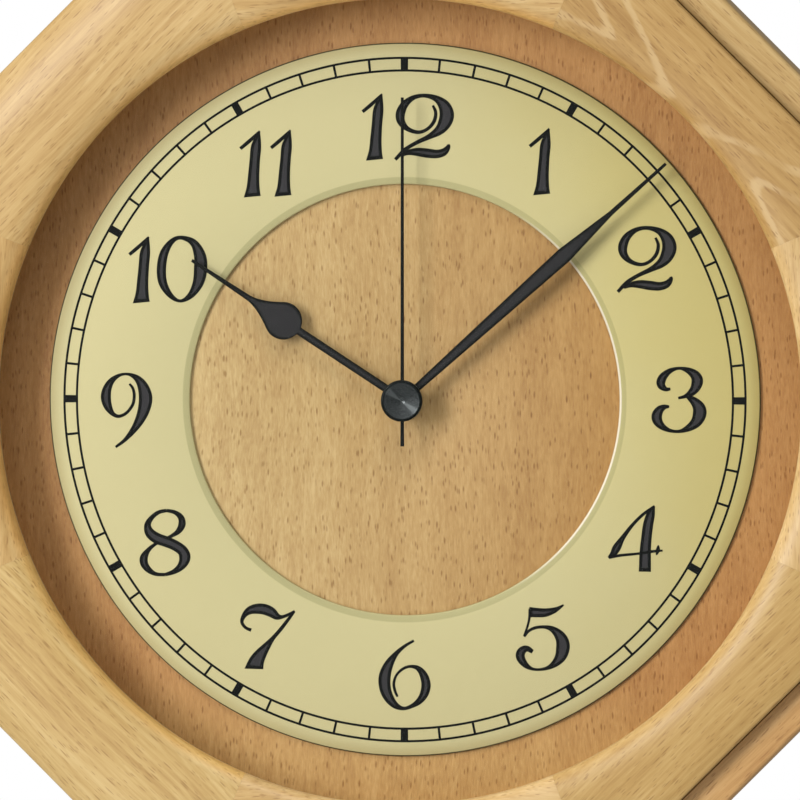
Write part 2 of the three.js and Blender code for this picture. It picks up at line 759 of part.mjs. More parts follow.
function turnedGroup(degrees, ...meshes) {
  const group = new THREE.Group();
  group.rotation.y = THREE.MathUtils.degToRad(degrees);
  group.add(...meshes);
  return group;
}

function handGroups() {
  const minuteAngle = minutesPast * 6;
  const hourAngle = hoursPast * 30 + minutesPast / 2;
  return [
    turnedGroup(hourAngle, hand("hour_hand", hourHandOutline(), hourHandRear, handThickness, hourTubeRadius)),
    turnedGroup(minuteAngle,
      hand("minute_hand", minuteHandOutline(), minuteHandRear, handThickness, minuteTubeRadius)),
    hand("second_hand", secondHandOutline(), secondHandRear, secondHandThickness, secondArborRadius),
    piece("hub_cap", hubCap(), "turnedSteel"),
  ];
}

// Gears. A tooth points at the given clock angle, or a gap when offset is a half.
function gearOutline(teeth, module, degrees, offset = 0) {
  const pitch = (teeth * module) / 2;
  const step = 360 / teeth;
  const points = [];
  for (let i = 0; i < teeth; i++) {
    const angle = degrees + (i + offset) * step;
    points.push(clockPoint(pitch - toothRoot * module, angle - toothHalfWidth * step));
    points.push(clockPoint(pitch + toothTip * module, angle));
    points.push(clockPoint(pitch - toothRoot * module, angle + toothHalfWidth * step));
  }
  return outlineOf(points);
}

function gear(teeth, module, degrees, offset, place, h0, h1) {
  return plate(gearOutline(teeth, module, degrees, offset), h0, h1).translate([place[0], 0, place[1]]);
}

function wheelDisc(teeth, module, degrees, offset, place, level) {
  return gear(teeth, module, degrees, offset, place, level, level + wheelThickness);
}

function meshDistance(teethA, teethB, module) {
  return ((teethA + teethB) * module) / 2;
}

function addPoints(a, b) {
  return [a[0] + b[0], a[1] + b[1]];
}

const centre = [0, 0];
const motionReach = meshDistance(minutePinionTeeth, motionWheelTeeth, motionModule);
const motionPlace = clockPoint(motionReach, -motionAngle);
const minuteThirdReach = meshDistance(minuteWheelTeeth, minuteThirdPinionTeeth, trainModule);
const minuteThirdPlace = clockPoint(minuteThirdReach, minuteThirdAngle);
const minuteRotorPlace = addPoints(minuteThirdPlace,
  clockPoint(meshDistance(minuteThirdWheelTeeth, minuteRotorTeeth, trainModule), minuteRotorAngle));
const secondThirdReach = meshDistance(secondWheelTeeth, secondThirdPinionTeeth, trainModule);
const secondThirdPlace = clockPoint(secondThirdReach, -secondThirdAngle);
const secondRotorPlace = addPoints(secondThirdPlace,
  clockPoint(meshDistance(secondThirdWheelTeeth, secondRotorTeeth, trainModule), -secondRotorAngle));
const secondLevel = floorTop + secondWheelLevel;
const minuteLevel = floorTop + minuteWheelLevel;
const hourLevel = floorTop + hourWheelLevel;
const motionLevel = floorTop + motionWheelLevel;
const pinionOver = (pinionLength - wheelThickness) / 2;
const arborFoot = floorTop + seat;

function hourWheel() {
  const disc = wheelDisc(hourWheelTeeth, motionModule, -motionAngle, 0, centre, hourLevel);
  const pipe = bar(hourTubeRadius, hourLevel, hourHandFront + tubeStand);
  const bore = bar(hourTubeBore, hourLevel - throughCut, hourHandFront + tubeStand + throughCut);
  return disc.add(pipe).subtract(bore);
}

function minuteWheel() {
  const pinionEnd = motionLevel + wheelThickness + pinionOver;
  const disc = wheelDisc(minuteWheelTeeth, trainModule, minuteThirdAngle, 0, centre, minuteLevel);
  const pinion = gear(minutePinionTeeth, motionModule, -motionAngle, 0, centre, minuteLevel, pinionEnd);
  const pipeEnd = minuteHandFront + tubeStand;
  const pipe = bar(minuteTubeRadius, minuteLevel, pipeEnd);
  const bore = bar(minuteTubeBore, minuteLevel - throughCut, pipeEnd + throughCut, 0, 0, pinSteps);
  return disc.add(pinion).add(pipe).subtract(bore);
}

function secondWheel() {
  const disc = wheelDisc(secondWheelTeeth, trainModule, -secondThirdAngle, 0, centre, secondLevel);
  return disc.add(bar(secondArborRadius, arborFoot, secondHandFront + tubeStand, 0, 0, pinSteps));
}

// Motion wheel: meets the minute pinion with its wheel and the hour wheel with its pinion.
function motionWheel() {
  const towards = 180 - motionAngle;
  const pinionEnd = hourLevel + wheelThickness + pinionOver;
  const disc = wheelDisc(motionWheelTeeth, motionModule, towards, 0.5, motionPlace, motionLevel);
  const pinion = gear(motionPinionTeeth, motionModule, towards, 0.5, motionPlace, motionLevel, pinionEnd);
  const boreRadius = postRadius + seat;
  const bore = bar(boreRadius, motionLevel - throughCut, pinionEnd + throughCut, ...motionPlace, pinSteps);
  return disc.add(pinion).subtract(bore);
}

// A third wheel on its own arbor: its pinion meets a centre wheel and its wheel meets a rotor.
function thirdWheel(place, towards, pinionTeeth, pinionLevel, wheelTeeth, wheelAngle, wheelLevel) {
  const low = Math.min(pinionLevel, wheelLevel);
  const high = Math.max(pinionLevel, wheelLevel) + wheelThickness;
  const pinion = gear(pinionTeeth, trainModule, towards, 0.5, place, low - pinionOver, high + pinionOver);
  const disc = wheelDisc(wheelTeeth, trainModule, wheelAngle, 0, place, wheelLevel);
  return pinion.add(disc).add(bar(postRadius, arborFoot, high + pinionLength, ...place, pinSteps));
}

function rotor(place, towards, teeth, wheelLevel) {
  const low = floorTop + rotorLevel;
  const end = wheelLevel + wheelThickness + pinionOver;
  const pinion = gear(teeth, trainModule, towards, 0.5, place, wheelLevel - pinionOver, end);
  return pinion
    .add(bar(magnetRotorRadius, low, low + magnetRotorLength, ...place))
    .add(bar(postRadius, arborFoot, end, ...place, pinSteps));
}

// A stator: a ring round the rotor, two legs to the coil row, and the coil on the core between them.
function stator(place, outerX) {
  const low = floorTop + rotorLevel + (magnetRotorLength - statorThickness) / 2;
  const high = low + statorThickness;
  const legHalf = statorLegWidth / 2;
  const left = Math.min(place[0], outerX) - legHalf;
  const right = Math.max(place[0], outerX) + legHalf;
  const coilLeft = (left + right - coilLength) / 2;
  const coilHeight = low + coilRadius - statorThickness;
  const coil = levelBar(coilRadius, coilLeft, coilLeft + coilLength, coilHeight, coilRowAbove);
  const shape = bar(statorRadius, low, high, ...place)
    .add(block(place[0] - legHalf, place[0] + legHalf, low, high, place[1], coilRowAbove))
    .add(block(left, right, low, high, coilRowAbove - legHalf, coilRowAbove + legHalf));
  const hole = bar(magnetRotorRadius + statorGap, low - throughCut, high + throughCut, ...place);
  return shape.subtract(hole).add(coil);
}

function trainParts() {
  const minuteThird = floorTop + minuteThirdLevel;
  const secondThird = floorTop + secondThirdLevel;
  const minuteThirdShape = thirdWheel(minuteThirdPlace, 180 + minuteThirdAngle, minuteThirdPinionTeeth,
    minuteLevel, minuteThirdWheelTeeth, minuteRotorAngle, minuteThird);
  const secondThirdShape = thirdWheel(secondThirdPlace, 180 - secondThirdAngle, secondThirdPinionTeeth,
    secondLevel, secondThirdWheelTeeth, -secondRotorAngle, secondThird);
  const minuteRotorShape = rotor(minuteRotorPlace, 180 + minuteRotorAngle, minuteRotorTeeth, minuteThird);
  const secondRotorShape = rotor(secondRotorPlace, 180 - secondRotorAngle, secondRotorTeeth, secondThird);
  return [
    piece("hour_wheel", hourWheel(), "whitePlastic"),
    piece("minute_wheel", minuteWheel(), "whitePlastic"),
    piece("motion_wheel", motionWheel(), "whitePlastic"),
    piece("second_wheel", secondWheel(), "whitePlastic"),
    piece("minute_third_wheel", minuteThirdShape, "whitePlastic"),
    piece("second_third_wheel", secondThirdShape, "whitePlastic"),
    piece("minute_rotor", minuteRotorShape, "magnet"),
    piece("second_rotor", secondRotorShape, "magnet"),
    piece("minute_motor_coil", stator(minuteRotorPlace, minuteRotorPlace[0] - coilLength / 2), "copper"),
    piece("second_motor_coil", stator(secondRotorPlace, secondRotorPlace[0] - coilLength / 2), "copper"),
  ];
}

// Movement housing.
const innerHalf = housingWidth / 2 - housingWall;
const arborPlaces = [centre, minuteThirdPlace, secondThirdPlace];
const rotorPlaces = [minuteRotorPlace, secondRotorPlace];
const buttonPlaces = [["set", buttonSpacing / 2], ["receive", -buttonSpacing / 2]];
const circuitLift = 2 * seat + buttonFlangeThickness + buttonTravel + seat / 2;
const circuitRear = floorTop + circuitLift;
const statorRadius = magnetRotorRadius + statorGap + statorRimWidth;
const circuitAbove = Math.min(...rotorPlaces.map((place) => place[1])) - statorRadius - seat;
const bayWall = -batteryBelow + batteryRadius + seat;
const antennaHeight = (floorTop + lidRear) / 2;

// A cup round each arbor's foot, standing on the floor of the rear shell.
function bearing(place, height) {
  const top = floorTop + height;
  const hole = bar(postRadius + seat, floorTop + seat / 2, top + throughCut, ...place, pinSteps);
  return [bar(bearingRadius, floorTop - housingWall / 2, top, ...place), hole];
}

function rearShell() {
  const half = housingWidth / 2;
  const outside = block(-half, half, housingRear, lidRear - seat, -housingBelow, housingAbove);
  const hollow = block(-innerHalf, innerHalf, floorTop, lidRear + throughCut,
    -housingBelow + housingWall, housingAbove - housingWall);
  const bayDoor = block(-innerHalf, innerHalf, housingRear - throughCut, floorTop + throughCut,
    -housingBelow + housingWall, bayWall);
  let shell = outside.subtract(hollow).add(block(-innerHalf - seat, innerHalf + seat,
    housingRear, lidRear - seat, bayWall, bayWall + housingWall)).subtract(bayDoor);
  const cups = [
    ...arborPlaces.map((place) => bearing(place, circuitLift + seat)),
    ...rotorPlaces.map((place) => bearing(place, rotorLevel - seat)),
  ];
  for (const [cup, hole] of cups) shell = shell.add(cup).subtract(hole);
  for (const x of [-antennaRibSpacing / 2, antennaRibSpacing / 2]) {
    shell = shell.add(block(x - antennaRibWidth / 2, x + antennaRibWidth / 2, floorTop - housingWall / 2,
      antennaHeight - antennaRadius - seat, antennaAbove - antennaRadius, antennaAbove + antennaRadius));
  }
  for (const [, z] of buttonPlaces) {
    const hole = bar(buttonRadius + seat, housingRear - throughCut, floorTop + throughCut, buttonRight, z);
    shell = shell.subtract(hole);
  }
  return shell;
}

function frontShell() {
  const half = housingWidth / 2;
  const lid = block(-half, half, lidRear, housingFront, -housingBelow, housingAbove);
  const spigot = block(-innerHalf + seat, innerHalf - seat, lidRear - housingWall / 2, lidRear,
    bayWall + housingWall + seat, housingAbove - housingWall - seat);
  const post = bar(postRadius, motionLevel - pinionOver, lidRear, ...motionPlace, pinSteps);
  const bore = bar(bushBoreRadius, lidRear - 2 * throughCut, bushEnd + throughCut);
  const bush = bar(bushRadius, lidRear, bushEnd);
  return lid.add(spigot.subtract(spigotRoom())).add(bush).subtract(bore).add(post);
}

// The spigot keeps clear of the wheels that turn just behind the lid.
function spigotRoom() {
  const reach = (hourWheelTeeth * motionModule) / 2 + 2 * seat;
  const room = bar(reach, lidRear - 2 * throughCut, lidRear + seat, 0, 0);
  const pinionReach = (motionPinionTeeth * motionModule) / 2 + 3 * seat;
  return room.add(bar(pinionReach, lidRear - 2 * throughCut, lidRear + seat, ...motionPlace));
}

function circuitBoard() {
  let board = block(-innerHalf + seat, innerHalf - seat, circuitRear, circuitRear + circuitThickness,
    -circuitBelow, circuitAbove);
  const [holeRear, holeFront] = [circuitRear - throughCut, circuitRear + throughCut];
  for (const place of arborPlaces) {
    board = board.subtract(bar(bearingRadius + seat, holeRear, holeFront, ...place, pinSteps));
  }
  return board;
}

function buttonShape(z) {
  const flangeLow = floorTop + seat;
  const flangeTop = flangeLow + buttonFlangeThickness;
  return bar(buttonRadius, housingRear - buttonStand, flangeTop, buttonRight, z)
    .add(bar(buttonFlangeRadius, flangeLow, flangeTop, buttonRight, z));
}

function antenna() {
  const [rodHalf, coilHalf] = [antennaLength / 2, antennaCoilLength / 2];
  return levelBar(antennaRadius, -rodHalf, rodHalf, antennaHeight, antennaAbove)
    .add(levelBar(antennaCoilRadius, -coilHalf, coilHalf, antennaHeight, antennaAbove));
}

const batteryHeight = lidRear - seat - batteryRadius;
const plusContactX = innerHalf - contactThickness;
const batteryRight = plusContactX - seat - batteryNubLength;
const batteryLeft = batteryRight - batteryLength;

function battery() {
  const nubEnd = batteryRight + batteryNubLength;
  return levelBar(batteryRadius, batteryLeft, batteryRight, batteryHeight, -batteryBelow, barSteps)
    .add(levelBar(batteryNubRadius, batteryLeft, nubEnd, batteryHeight, -batteryBelow));
}

function contact(x0, x1) {
  return block(x0, x1, batteryHeight - contactHalf, batteryHeight + contactHalf,
    -batteryBelow - contactHalf, -batteryBelow + contactHalf);
}

function plusContact() {
  return contact(plusContactX - seat / 2, plusContactX + contactThickness - seat);
}

function springContact() {
  const rear = -innerHalf + seat;
  const tip = Math.min(batteryLeft - seat, rear + contactThickness + contactSpringLength);
  return contact(rear, rear + contactThickness)
    .add(levelBar(contactHalf / 2, rear, tip, batteryHeight, -batteryBelow));
}

function nut() {
  const reach = nutAcrossFlats / 2 / Math.cos(Math.PI / 6);
  const low = boardFront + seat + washerThickness + seat;
  return bar(reach, low, low + nutThickness, 0, 0, 6)
    .subtract(bar(bushRadius + seat, low - throughCut, low + nutThickness + throughCut));
}

function movementParts() {
  const washerLow = boardFront + seat;
  const parts = [
    piece("movement_rear_shell", rearShell(), "blackPlastic"),
    piece("movement_front_shell", frontShell(), "blackPlastic"),
    piece("circuit_board", circuitBoard(), "circuit"),
    piece("radio_antenna", antenna(), "copper"),
    piece("battery", battery(), "cell"),
    piece("battery_spring_contact", springContact(), "steel"),
    piece("battery_plus_contact", plusContact(), "steel"),
    piece("bush_washer",
      tube(bushRadius + seat, washerRadius, washerLow, washerLow + washerThickness), "brass"),
    piece("bush_nut", nut(), "brass"),
  ];
  for (const [use, z] of buttonPlaces) parts.push(piece("button_" + use, buttonShape(z), "whitePlastic"));
  return parts;
}

const clock = new THREE.Group();
clock.position.z = -hangPointHeight;
clock.add(...caseStaves(), ...caseFittings(), ...dialParts(), ...hingeParts(), ...doorParts());
clock.add(...handGroups(), ...trainParts(), ...movementParts());

export default clock;
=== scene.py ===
"""Dresses an octagonal beech wall clock with a hinged, glazed front and a radio-controlled movement.

Sizes are millimetres. A point is given as x to the right of the dial centre, a height h in front of
the wall and z above the dial centre. Meshes are written in metres.
"""

import logging
import math
from dataclasses import dataclass, field, replace
from enum import Enum
from functools import partial
from typing import Callable, Iterable, Sequence

import bmesh
import bpy
from mathutils import Matrix, Vector


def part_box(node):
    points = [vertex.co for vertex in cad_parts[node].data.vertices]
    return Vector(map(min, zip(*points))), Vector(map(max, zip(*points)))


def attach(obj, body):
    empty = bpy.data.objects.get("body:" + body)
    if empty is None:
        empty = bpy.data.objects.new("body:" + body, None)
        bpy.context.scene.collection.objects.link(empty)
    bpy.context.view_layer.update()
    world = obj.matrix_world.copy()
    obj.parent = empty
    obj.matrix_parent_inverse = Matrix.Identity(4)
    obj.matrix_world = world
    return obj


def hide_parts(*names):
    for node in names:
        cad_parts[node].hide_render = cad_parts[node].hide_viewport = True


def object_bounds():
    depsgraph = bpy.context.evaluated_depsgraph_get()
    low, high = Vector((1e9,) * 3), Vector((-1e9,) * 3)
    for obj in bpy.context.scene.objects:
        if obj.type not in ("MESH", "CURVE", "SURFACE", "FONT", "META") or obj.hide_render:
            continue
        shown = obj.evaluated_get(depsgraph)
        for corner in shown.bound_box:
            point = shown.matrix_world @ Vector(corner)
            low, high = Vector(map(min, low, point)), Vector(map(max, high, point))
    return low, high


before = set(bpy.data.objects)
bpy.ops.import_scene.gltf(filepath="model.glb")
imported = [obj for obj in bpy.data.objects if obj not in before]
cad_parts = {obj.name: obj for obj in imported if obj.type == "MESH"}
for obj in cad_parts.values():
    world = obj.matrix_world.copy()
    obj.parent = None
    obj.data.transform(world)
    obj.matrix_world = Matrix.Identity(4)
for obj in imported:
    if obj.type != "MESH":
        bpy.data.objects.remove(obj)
cad_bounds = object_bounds()

Colour = tuple[float, float, float]
Point2 = tuple[float, float]
Point3 = tuple[float, float, float]
Section = Callable[[float], Sequence[Point2]]
Piece = bpy.types.Object
Material = bpy.types.Material

log = logging.getLogger("wall_clock")

MM = 0.001
SIDES = 8
TURN = math.tau / SIDES
CARVED_EDGE = 35.0
CORE = "core"
ROUND_STEPS = 180
CATCH_X = 156.8
LEAF_END = -167.4
LEAF_POCKET_HALF = 36.3
DIAL_CENTRE_Z = sum(corner.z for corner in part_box("dial_board")) / 2 / MM


def heights(node: str) -> tuple[float, float]:
    """Gives the rear and front heights of a CAD node above the wall, in millimetres."""
    low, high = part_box(node)
    return -high.y / MM, -low.y / MM


def middle_of(node: str) -> Point2:
    """Gives the x and z of a CAD node's middle about the dial centre, in millimetres."""
    low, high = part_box(node)
    return (low.x + high.x) / 2 / MM, (low.z + high.z) / 2 / MM - DIAL_CENTRE_Z


def unit(value: float) -> float:
    """Keeps a number between nought and one."""
    return min(1.0, max(0.0, value))


def point(x: float, h: float, z: float) -> Vector:
    """Turns millimetres about the dial centre into a world place in metres."""
    return Vector((x, -h, z + DIAL_CENTRE_Z)) * MM


class StaveSide(Enum):
    """The eight staves of the frame, anticlockwise from the right upright one."""

    RIGHT = 0
    UPPER_RIGHT = 1
    TOP = 2
    UPPER_LEFT = 3
    LEFT = 4
    LOWER_LEFT = 5
    BOTTOM = 6
    LOWER_RIGHT = 7

    @property
    def angle(self) -> float:
        """The direction of the stave's middle from the dial centre, in radians."""
        return self.value * TURN

    @property
    def label(self) -> str:
        """The stave's name as the CAD nodes have it."""
        return self.name.lower()

    @property
    def has_ledge(self) -> bool:
        """Whether the door stands back here and leaves a finger ledge."""
        return self.label.endswith("right")


class Figure(Enum):
    """How the growth rings show on a board."""

    PLAIN = "plain"
    ARCHED = "arched"


def operator(operation: str, first: bool = True) -> Callable[["Value", "Value | float"], "Value"]:
    """Makes one of the operators of Value; first says whether the value itself is the first operand."""

    def apply(value: "Value", other: "Value | float") -> "Value":
        """Adds the Math node."""
        return value.math(operation, other, first=first)

    return apply


class Value:
    """A number that varies over a surface: arithmetic and comparison on it add Math nodes."""

    def __init__(self, shader: "Shader", socket: bpy.types.NodeSocket) -> None:
        """Wraps an output socket.

        Args:
            shader: The tree that the socket is in.
            socket: The output that carries the number.
        """
        self.shader = shader
        self.socket = socket

    def math(self, operation: str, *others: "Value | float", first: bool = True) -> "Value":
        """Adds one Math node.

        Args:
            operation: The node's operation.
            others: The other operands.
            first: Whether this value is the first operand.

        Returns:
            The node's result.
        """
        operands = [self, *others] if first else [*others, self]
        return self.shader.node("Math", {"operation": operation}, dict(enumerate(operands)))

    __add__ = __radd__ = operator("ADD")
    __sub__ = operator("SUBTRACT")
    __rsub__ = operator("SUBTRACT", first=False)
    __mul__ = __rmul__ = operator("MULTIPLY")
    __truediv__ = operator("DIVIDE")
    __gt__ = operator("GREATER_THAN")

    def between(self, low: float, high: float) -> "Value":
        """Rises smoothly from nought at low to one at high; high may be the smaller."""
        if low > high:
            return 1 - self.between(high, low)
        settings = {"interpolation_type": "SMOOTHSTEP"}
        return self.shader.node("MapRange", settings, {"Value": self, "From Min": low, "From Max": high})


class Shader:
    """A material under construction."""

    def __init__(self, name: str) -> None:
        """Starts a material with a principled surface.

        Args:
            name: The material's name.
        """
        self.material = bpy.data.materials.new(name)
        self.material.use_nodes = True
        self.tree = self.material.node_tree
        self.surface = self.tree.nodes["Principled BSDF"]

    def node(self, kind: str, settings: dict, inputs: dict, output: int | str = 0) -> Value:
        """Adds a node of any kind.

        Args:
            kind: The node's type without its prefix.
            settings: Attributes of the node, with "stops" for a ramp's colours.
            inputs: Sockets by name or number, each with a value or a link.
            output: The output socket to return.

        Returns:
            The chosen output.
        """
        node = self.tree.nodes.new("ShaderNode" + kind)
        for key, setting in settings.items():
            if key == "stops":
                self._set_stops(node.color_ramp, setting)
            else:
                setattr(node, key, setting)
        for key, value in inputs.items():
            self.plug(node, key, value)
        return Value(self, node.outputs[output])

    def plug(self, node: bpy.types.Node, key: str | int, value: object) -> None:
        """Links a value to an input socket, or sets the socket's own number or colour."""
        socket = node.inputs[key]
        if isinstance(value, Value):
            self.tree.links.new(value.socket, socket)
        elif socket.type == "RGBA":
            socket.default_value = (*value, 1.0)
        else:
            socket.default_value = value

    @staticmethod
    def _set_stops(ramp: bpy.types.ColorRamp, stops: Sequence[tuple[float, Colour]]) -> None:
        """Replaces a ramp's stops."""
        while len(ramp.elements) < len(stops):
            ramp.elements.new(1.0)
        for element, (position, colour) in zip(ramp.elements, stops):
            element.position = position
            element.color = (*colour, 1.0)

    def set(self, **sockets: object) -> None:
        """Sets or links sockets of the surface, named with underscores for spaces."""
        for key, value in sockets.items():
            self.plug(self.surface, key.replace("_", " "), value)

    def own_place(self, shift: Point3 = (0, 0, 0)) -> Value:
        """The place on the piece in millimetres of its own axes, moved by shift."""
        place = self.node("TexCoord", {}, {}, "Object")
        return self.vector("MULTIPLY_ADD", place, (1 / MM,) * 3, shift)

    def vector(self, operation: str, *operands: object) -> Value:
        """Adds one Vector Math node."""
        return self.node("VectorMath", {"operation": operation}, dict(enumerate(operands)))

    def parts(self, place: Value) -> tuple[Value, Value, Value]:
        """Splits a place into its three coordinates."""
        first = self.node("SeparateXYZ", {}, {"Vector": place})
        return (first, *(Value(self, first.socket.node.outputs[key]) for key in "YZ"))

    def radius(self, place: Value) -> Value:
        """The distance of a place from its own Y axis."""
        flat = self.vector("MULTIPLY", place, (1, 0, 1))
        return self.node("VectorMath", {"operation": "LENGTH"}, {0: flat}, "Value")

    def noise(self, place: Value, lengths: Point3, detail: float = 2.0, output: int | str = 0) -> Value:
        """Noise whose features have the given lengths along the three axes.

        Args:
            place: Where to read it, in millimetres.
            lengths: The size of a feature along X, Y and Z, in millimetres.
            detail: How many finer octaves are added.
            output: The output socket.

        Returns:
            The noise, about one half on average.
        """
        scaled = self.vector("DIVIDE", place, lengths)
        return self.node("TexNoise", {}, {"Vector": scaled, "Scale": 1.0, "Detail": detail}, output)

    def cells(self, place: Value, lengths: Point3, output: str) -> Value:
        """Voronoi cells of the given lengths: the distance to the nearest seed, or its colour."""
        scaled = self.vector("DIVIDE", place, lengths)
        return self.node("TexVoronoi", {}, {"Vector": scaled, "Scale": 1.0}, output)

    def mix(self, factor: "Value | float", under: object, over: object, blend: str = "MIX") -> Value:
        """Mixes two colours.

        Args:
            factor: How much of the second colour shows.
            under: The first colour.
            over: The second colour.
            blend: The blend type.

        Returns:
            The mixed colour.
        """
        first_colour, second_colour, colour_result = 6, 7, 2
        settings = {"data_type": "RGBA", "blend_type": blend}
        inputs = {0: factor, first_colour: under, second_colour: over}
        return self.node("Mix", settings, inputs, colour_result)

    def tinted(self, colour: Value, tint: "Value | Colour", factor: "Value | float" = 1.0) -> Value:
        """Multiplies a colour by a tint, as far as the factor says."""
        return self.mix(factor, colour, tint, "MULTIPLY")

    def ramp(self, value: Value, *stops: tuple[float, Colour]) -> Value:
        """Turns a number into a colour."""
        return self.node("ValToRGB", {"stops": stops}, {"Fac": value})

    def bump(self, height: Value, depth: float, strength: float = 1.0) -> None:
        """Feeds a height, from nought to one, to the surface's normal.

        Args:
            height: The height.
            depth: What a height of one stands for, in millimetres.
            strength: The node's strength.
        """
        inputs = {"Height": height, "Distance": depth * MM, "Strength": strength}
        self.set(Normal=self.node("Bump", {}, inputs))


@dataclass(frozen=True)
class Finish:
    """The recipe of a material; each kind paints the surface in its own way."""

    name: str

    def material(self) -> Material:
        """Builds the material."""
        shader = Shader(self.name)
        self.paint(shader)
        return shader.material

    def paint(self, shader: Shader) -> None:
        """Sets the sockets of the surface."""
        raise NotImplementedError


@dataclass(frozen=True)
class FleckCell:
    """A layer of ray flecks: their spacing in millimetres, their share of it and how dark they are."""

    length: float
    width: float
    share: float
    depth: float


@dataclass(frozen=True)
class Beech(Finish):
    """Lacquered beech, with its grain along the piece's own X axis."""

    shift: Point3 = (0, 0, 0)
    tint: Colour = (1.0, 1.0, 1.0)
    pale: Colour = (0.63, 0.431, 0.188)
    middle: Colour = (0.536, 0.339, 0.124)
    dark: Colour = (0.423, 0.242, 0.076)
    fleck: Colour = (0.3, 0.15, 0.042)
    figure: Figure = Figure.PLAIN
    contrast: Point3 = (0.5, 0.44, 0.24)
    sway_lengths: Point3 = (95, 60, 60)
    sway: Point3 = (0, 5, 9)
    band_lengths: Point3 = (230, 26, 15)
    streak_lengths: Point3 = (34.0, 1.5, 1.3)
    fibre_lengths: Point3 = (9.0, 0.55, 0.5)
    fleck_cells: tuple[FleckCell, ...] = (FleckCell(9.5, 0.95, 0.32, 0.7), FleckCell(5.0, 0.75, 0.3, 0.6))
    roughness: float = 0.45
    coat: float = 0.26
    coat_roughness: float = 0.33
    lip: float = 0.0
    # Painted light on the lip's rounding: how far from the lip it reaches, and its tint.
    lip_light_width: float = 4.5
    lip_light: Colour = (1.25, 1.13, 0.92)

    def paint(self, shader: Shader) -> None:
        """Builds the wood from broad bands, fibre streaks and short dark ray flecks."""
        raw = shader.own_place(self.shift)
        swing = shader.noise(raw, self.sway_lengths, 1.0, "Color")
        place = shader.vector("MULTIPLY_ADD", swing, self.sway, raw)
        bands = shader.noise(place, self.band_lengths, 3.0)
        streaks = shader.noise(place, self.streak_lengths, 3.0)
        fibres = shader.noise(place, self.fibre_lengths, 2.0)
        coarse, medium, fine = self.contrast
        tone = (bands - 0.5) * coarse + (streaks - 0.5) * medium + (fibres - 0.5) * fine + 0.5
        wood = shader.ramp(tone, (0.33, self.dark), (0.5, self.middle), (0.66, self.pale))
        if self.figure is Figure.ARCHED:
            wood = self._arches(shader, wood)
        for cell in self.fleck_cells:
            wood = self._flecks(shader, place, wood, cell)
        shader.set(Base_Color=self.toned(shader, wood))
        shader.set(Coat_Weight=self.coat, Coat_Roughness=self.coat_roughness)
        shader.set(Roughness=self.roughness + streaks * 0.12)
        shader.bump(fibres * 0.5 + streaks * 0.5, 0.05, 0.4)

    def toned(self, shader: Shader, wood: Value) -> Value:
        """Tints the whole board, and paints light on the rounding beside the lip where the board has one."""
        wood = shader.tinted(wood, self.tint)
        if not self.lip:
            return wood
        # Painted light: the rounding beside the lip is brightened by the lip's tint.
        near = shader.radius(shader.own_place()).between(self.lip + self.lip_light_width, self.lip + 0.5)
        return shader.tinted(wood, self.lip_light, near)

    def _flecks(self, shader: Shader, place: Value, wood: Value, cell: FleckCell) -> Value:
        """Adds short dark spindles along the grain, in part of the cells."""
        lengths = (cell.length, cell.width, cell.width)
        seed = shader.node("SeparateColor", {}, {"Color": shader.cells(place, lengths, "Color")})
        shape = shader.cells(place, lengths, "Distance").between(cell.share, cell.share * 0.4)
        return shader.mix(shape * seed.between(0.15, 0.65) * cell.depth, wood, self.fleck)

    def _arches(self, shader: Shader, wood: Value) -> Value:
        """Adds the pale nested arches of a flat-sawn board, which meet tip to tip near its middle."""
        middle_along, middle_across = -2.0, 143.0
        slope, tip_round = 0.32, 8.0
        first_line, spacing, wander, strength = 2.0, 28.0, 22.0, 0.7
        paler = (1.12, 1.2, 1.5)
        here = shader.own_place()
        pull = shader.noise(here, (30, 14, 12), 3.0)
        x, _, z = shader.parts(here)
        along = (x - middle_along).math("ABSOLUTE")
        across = (z - middle_across) / slope
        reach = along - (across * across + tip_round * tip_round).math("SQRT") + (pull - 0.5) * wander
        phase = (reach - first_line) * (math.tau / spacing) + math.pi / 2
        lines = phase.math("SINE").between(0.45, 1.0)
        seen = shader.noise(here, (26, 14, 12)).between(0.3, 0.52) * reach.between(-5.0, 0.0)
        arch = tuple(part * more for part, more in zip(self.pale, paler))
        return shader.mix(lines * seen * strength, wood, arch)


@dataclass(frozen=True)
class Veneer(Beech):
    """The dial board's veneer, with light and shade painted on it: paler on the left under a painted veil of
    reflected light, and browner outside the ring in painted shade, except at its lit foot.
    """

    half: float = 72.0
    ring_middle: float = 100.0
    foot: tuple[float, float] = (-92.0, -130.0)
    # Painted reflection: the leaf inside the ring runs from a pale left, as under a veil of reflected light,
    # to an orange right.
    left: Colour = (0.9, 1.0, 1.0)
    right: Colour = (0.64, 0.52, 0.3)
    # Painted shade: outside the ring the board is browner, as in the frame's shade; its foot, where light
    # falls, is paler.
    board: Colour = (0.78, 0.61, 0.43)
    lit_foot: Colour = (0.92, 0.86, 0.68)
    back: Colour = (0.8, 0.72, 0.58)
    face: float = 25.0

    def toned(self, shader: Shader, wood: Value) -> Value:
        """Tints the leaf by its place on the dial, painting light and shade; its own Z axis points to the
        right and X down.
        """
        here = shader.own_place()
        down, deep, across = shader.parts(here)
        # Painted reflection: paler on the left, more orange on the right.
        inside = shader.ramp((across / self.half + 1) / 2, (0.0, self.left), (1.0, self.right))
        # Painted shade outside the ring, lifted at the lit foot.
        outside = shader.mix((down * -1).between(*self.foot), self.board, self.lit_foot)
        tint = shader.mix(shader.radius(here) > self.ring_middle, inside, outside)
        tint = shader.mix((deep * -1) > self.face, self.back, tint)
        return shader.tinted(wood, tint)


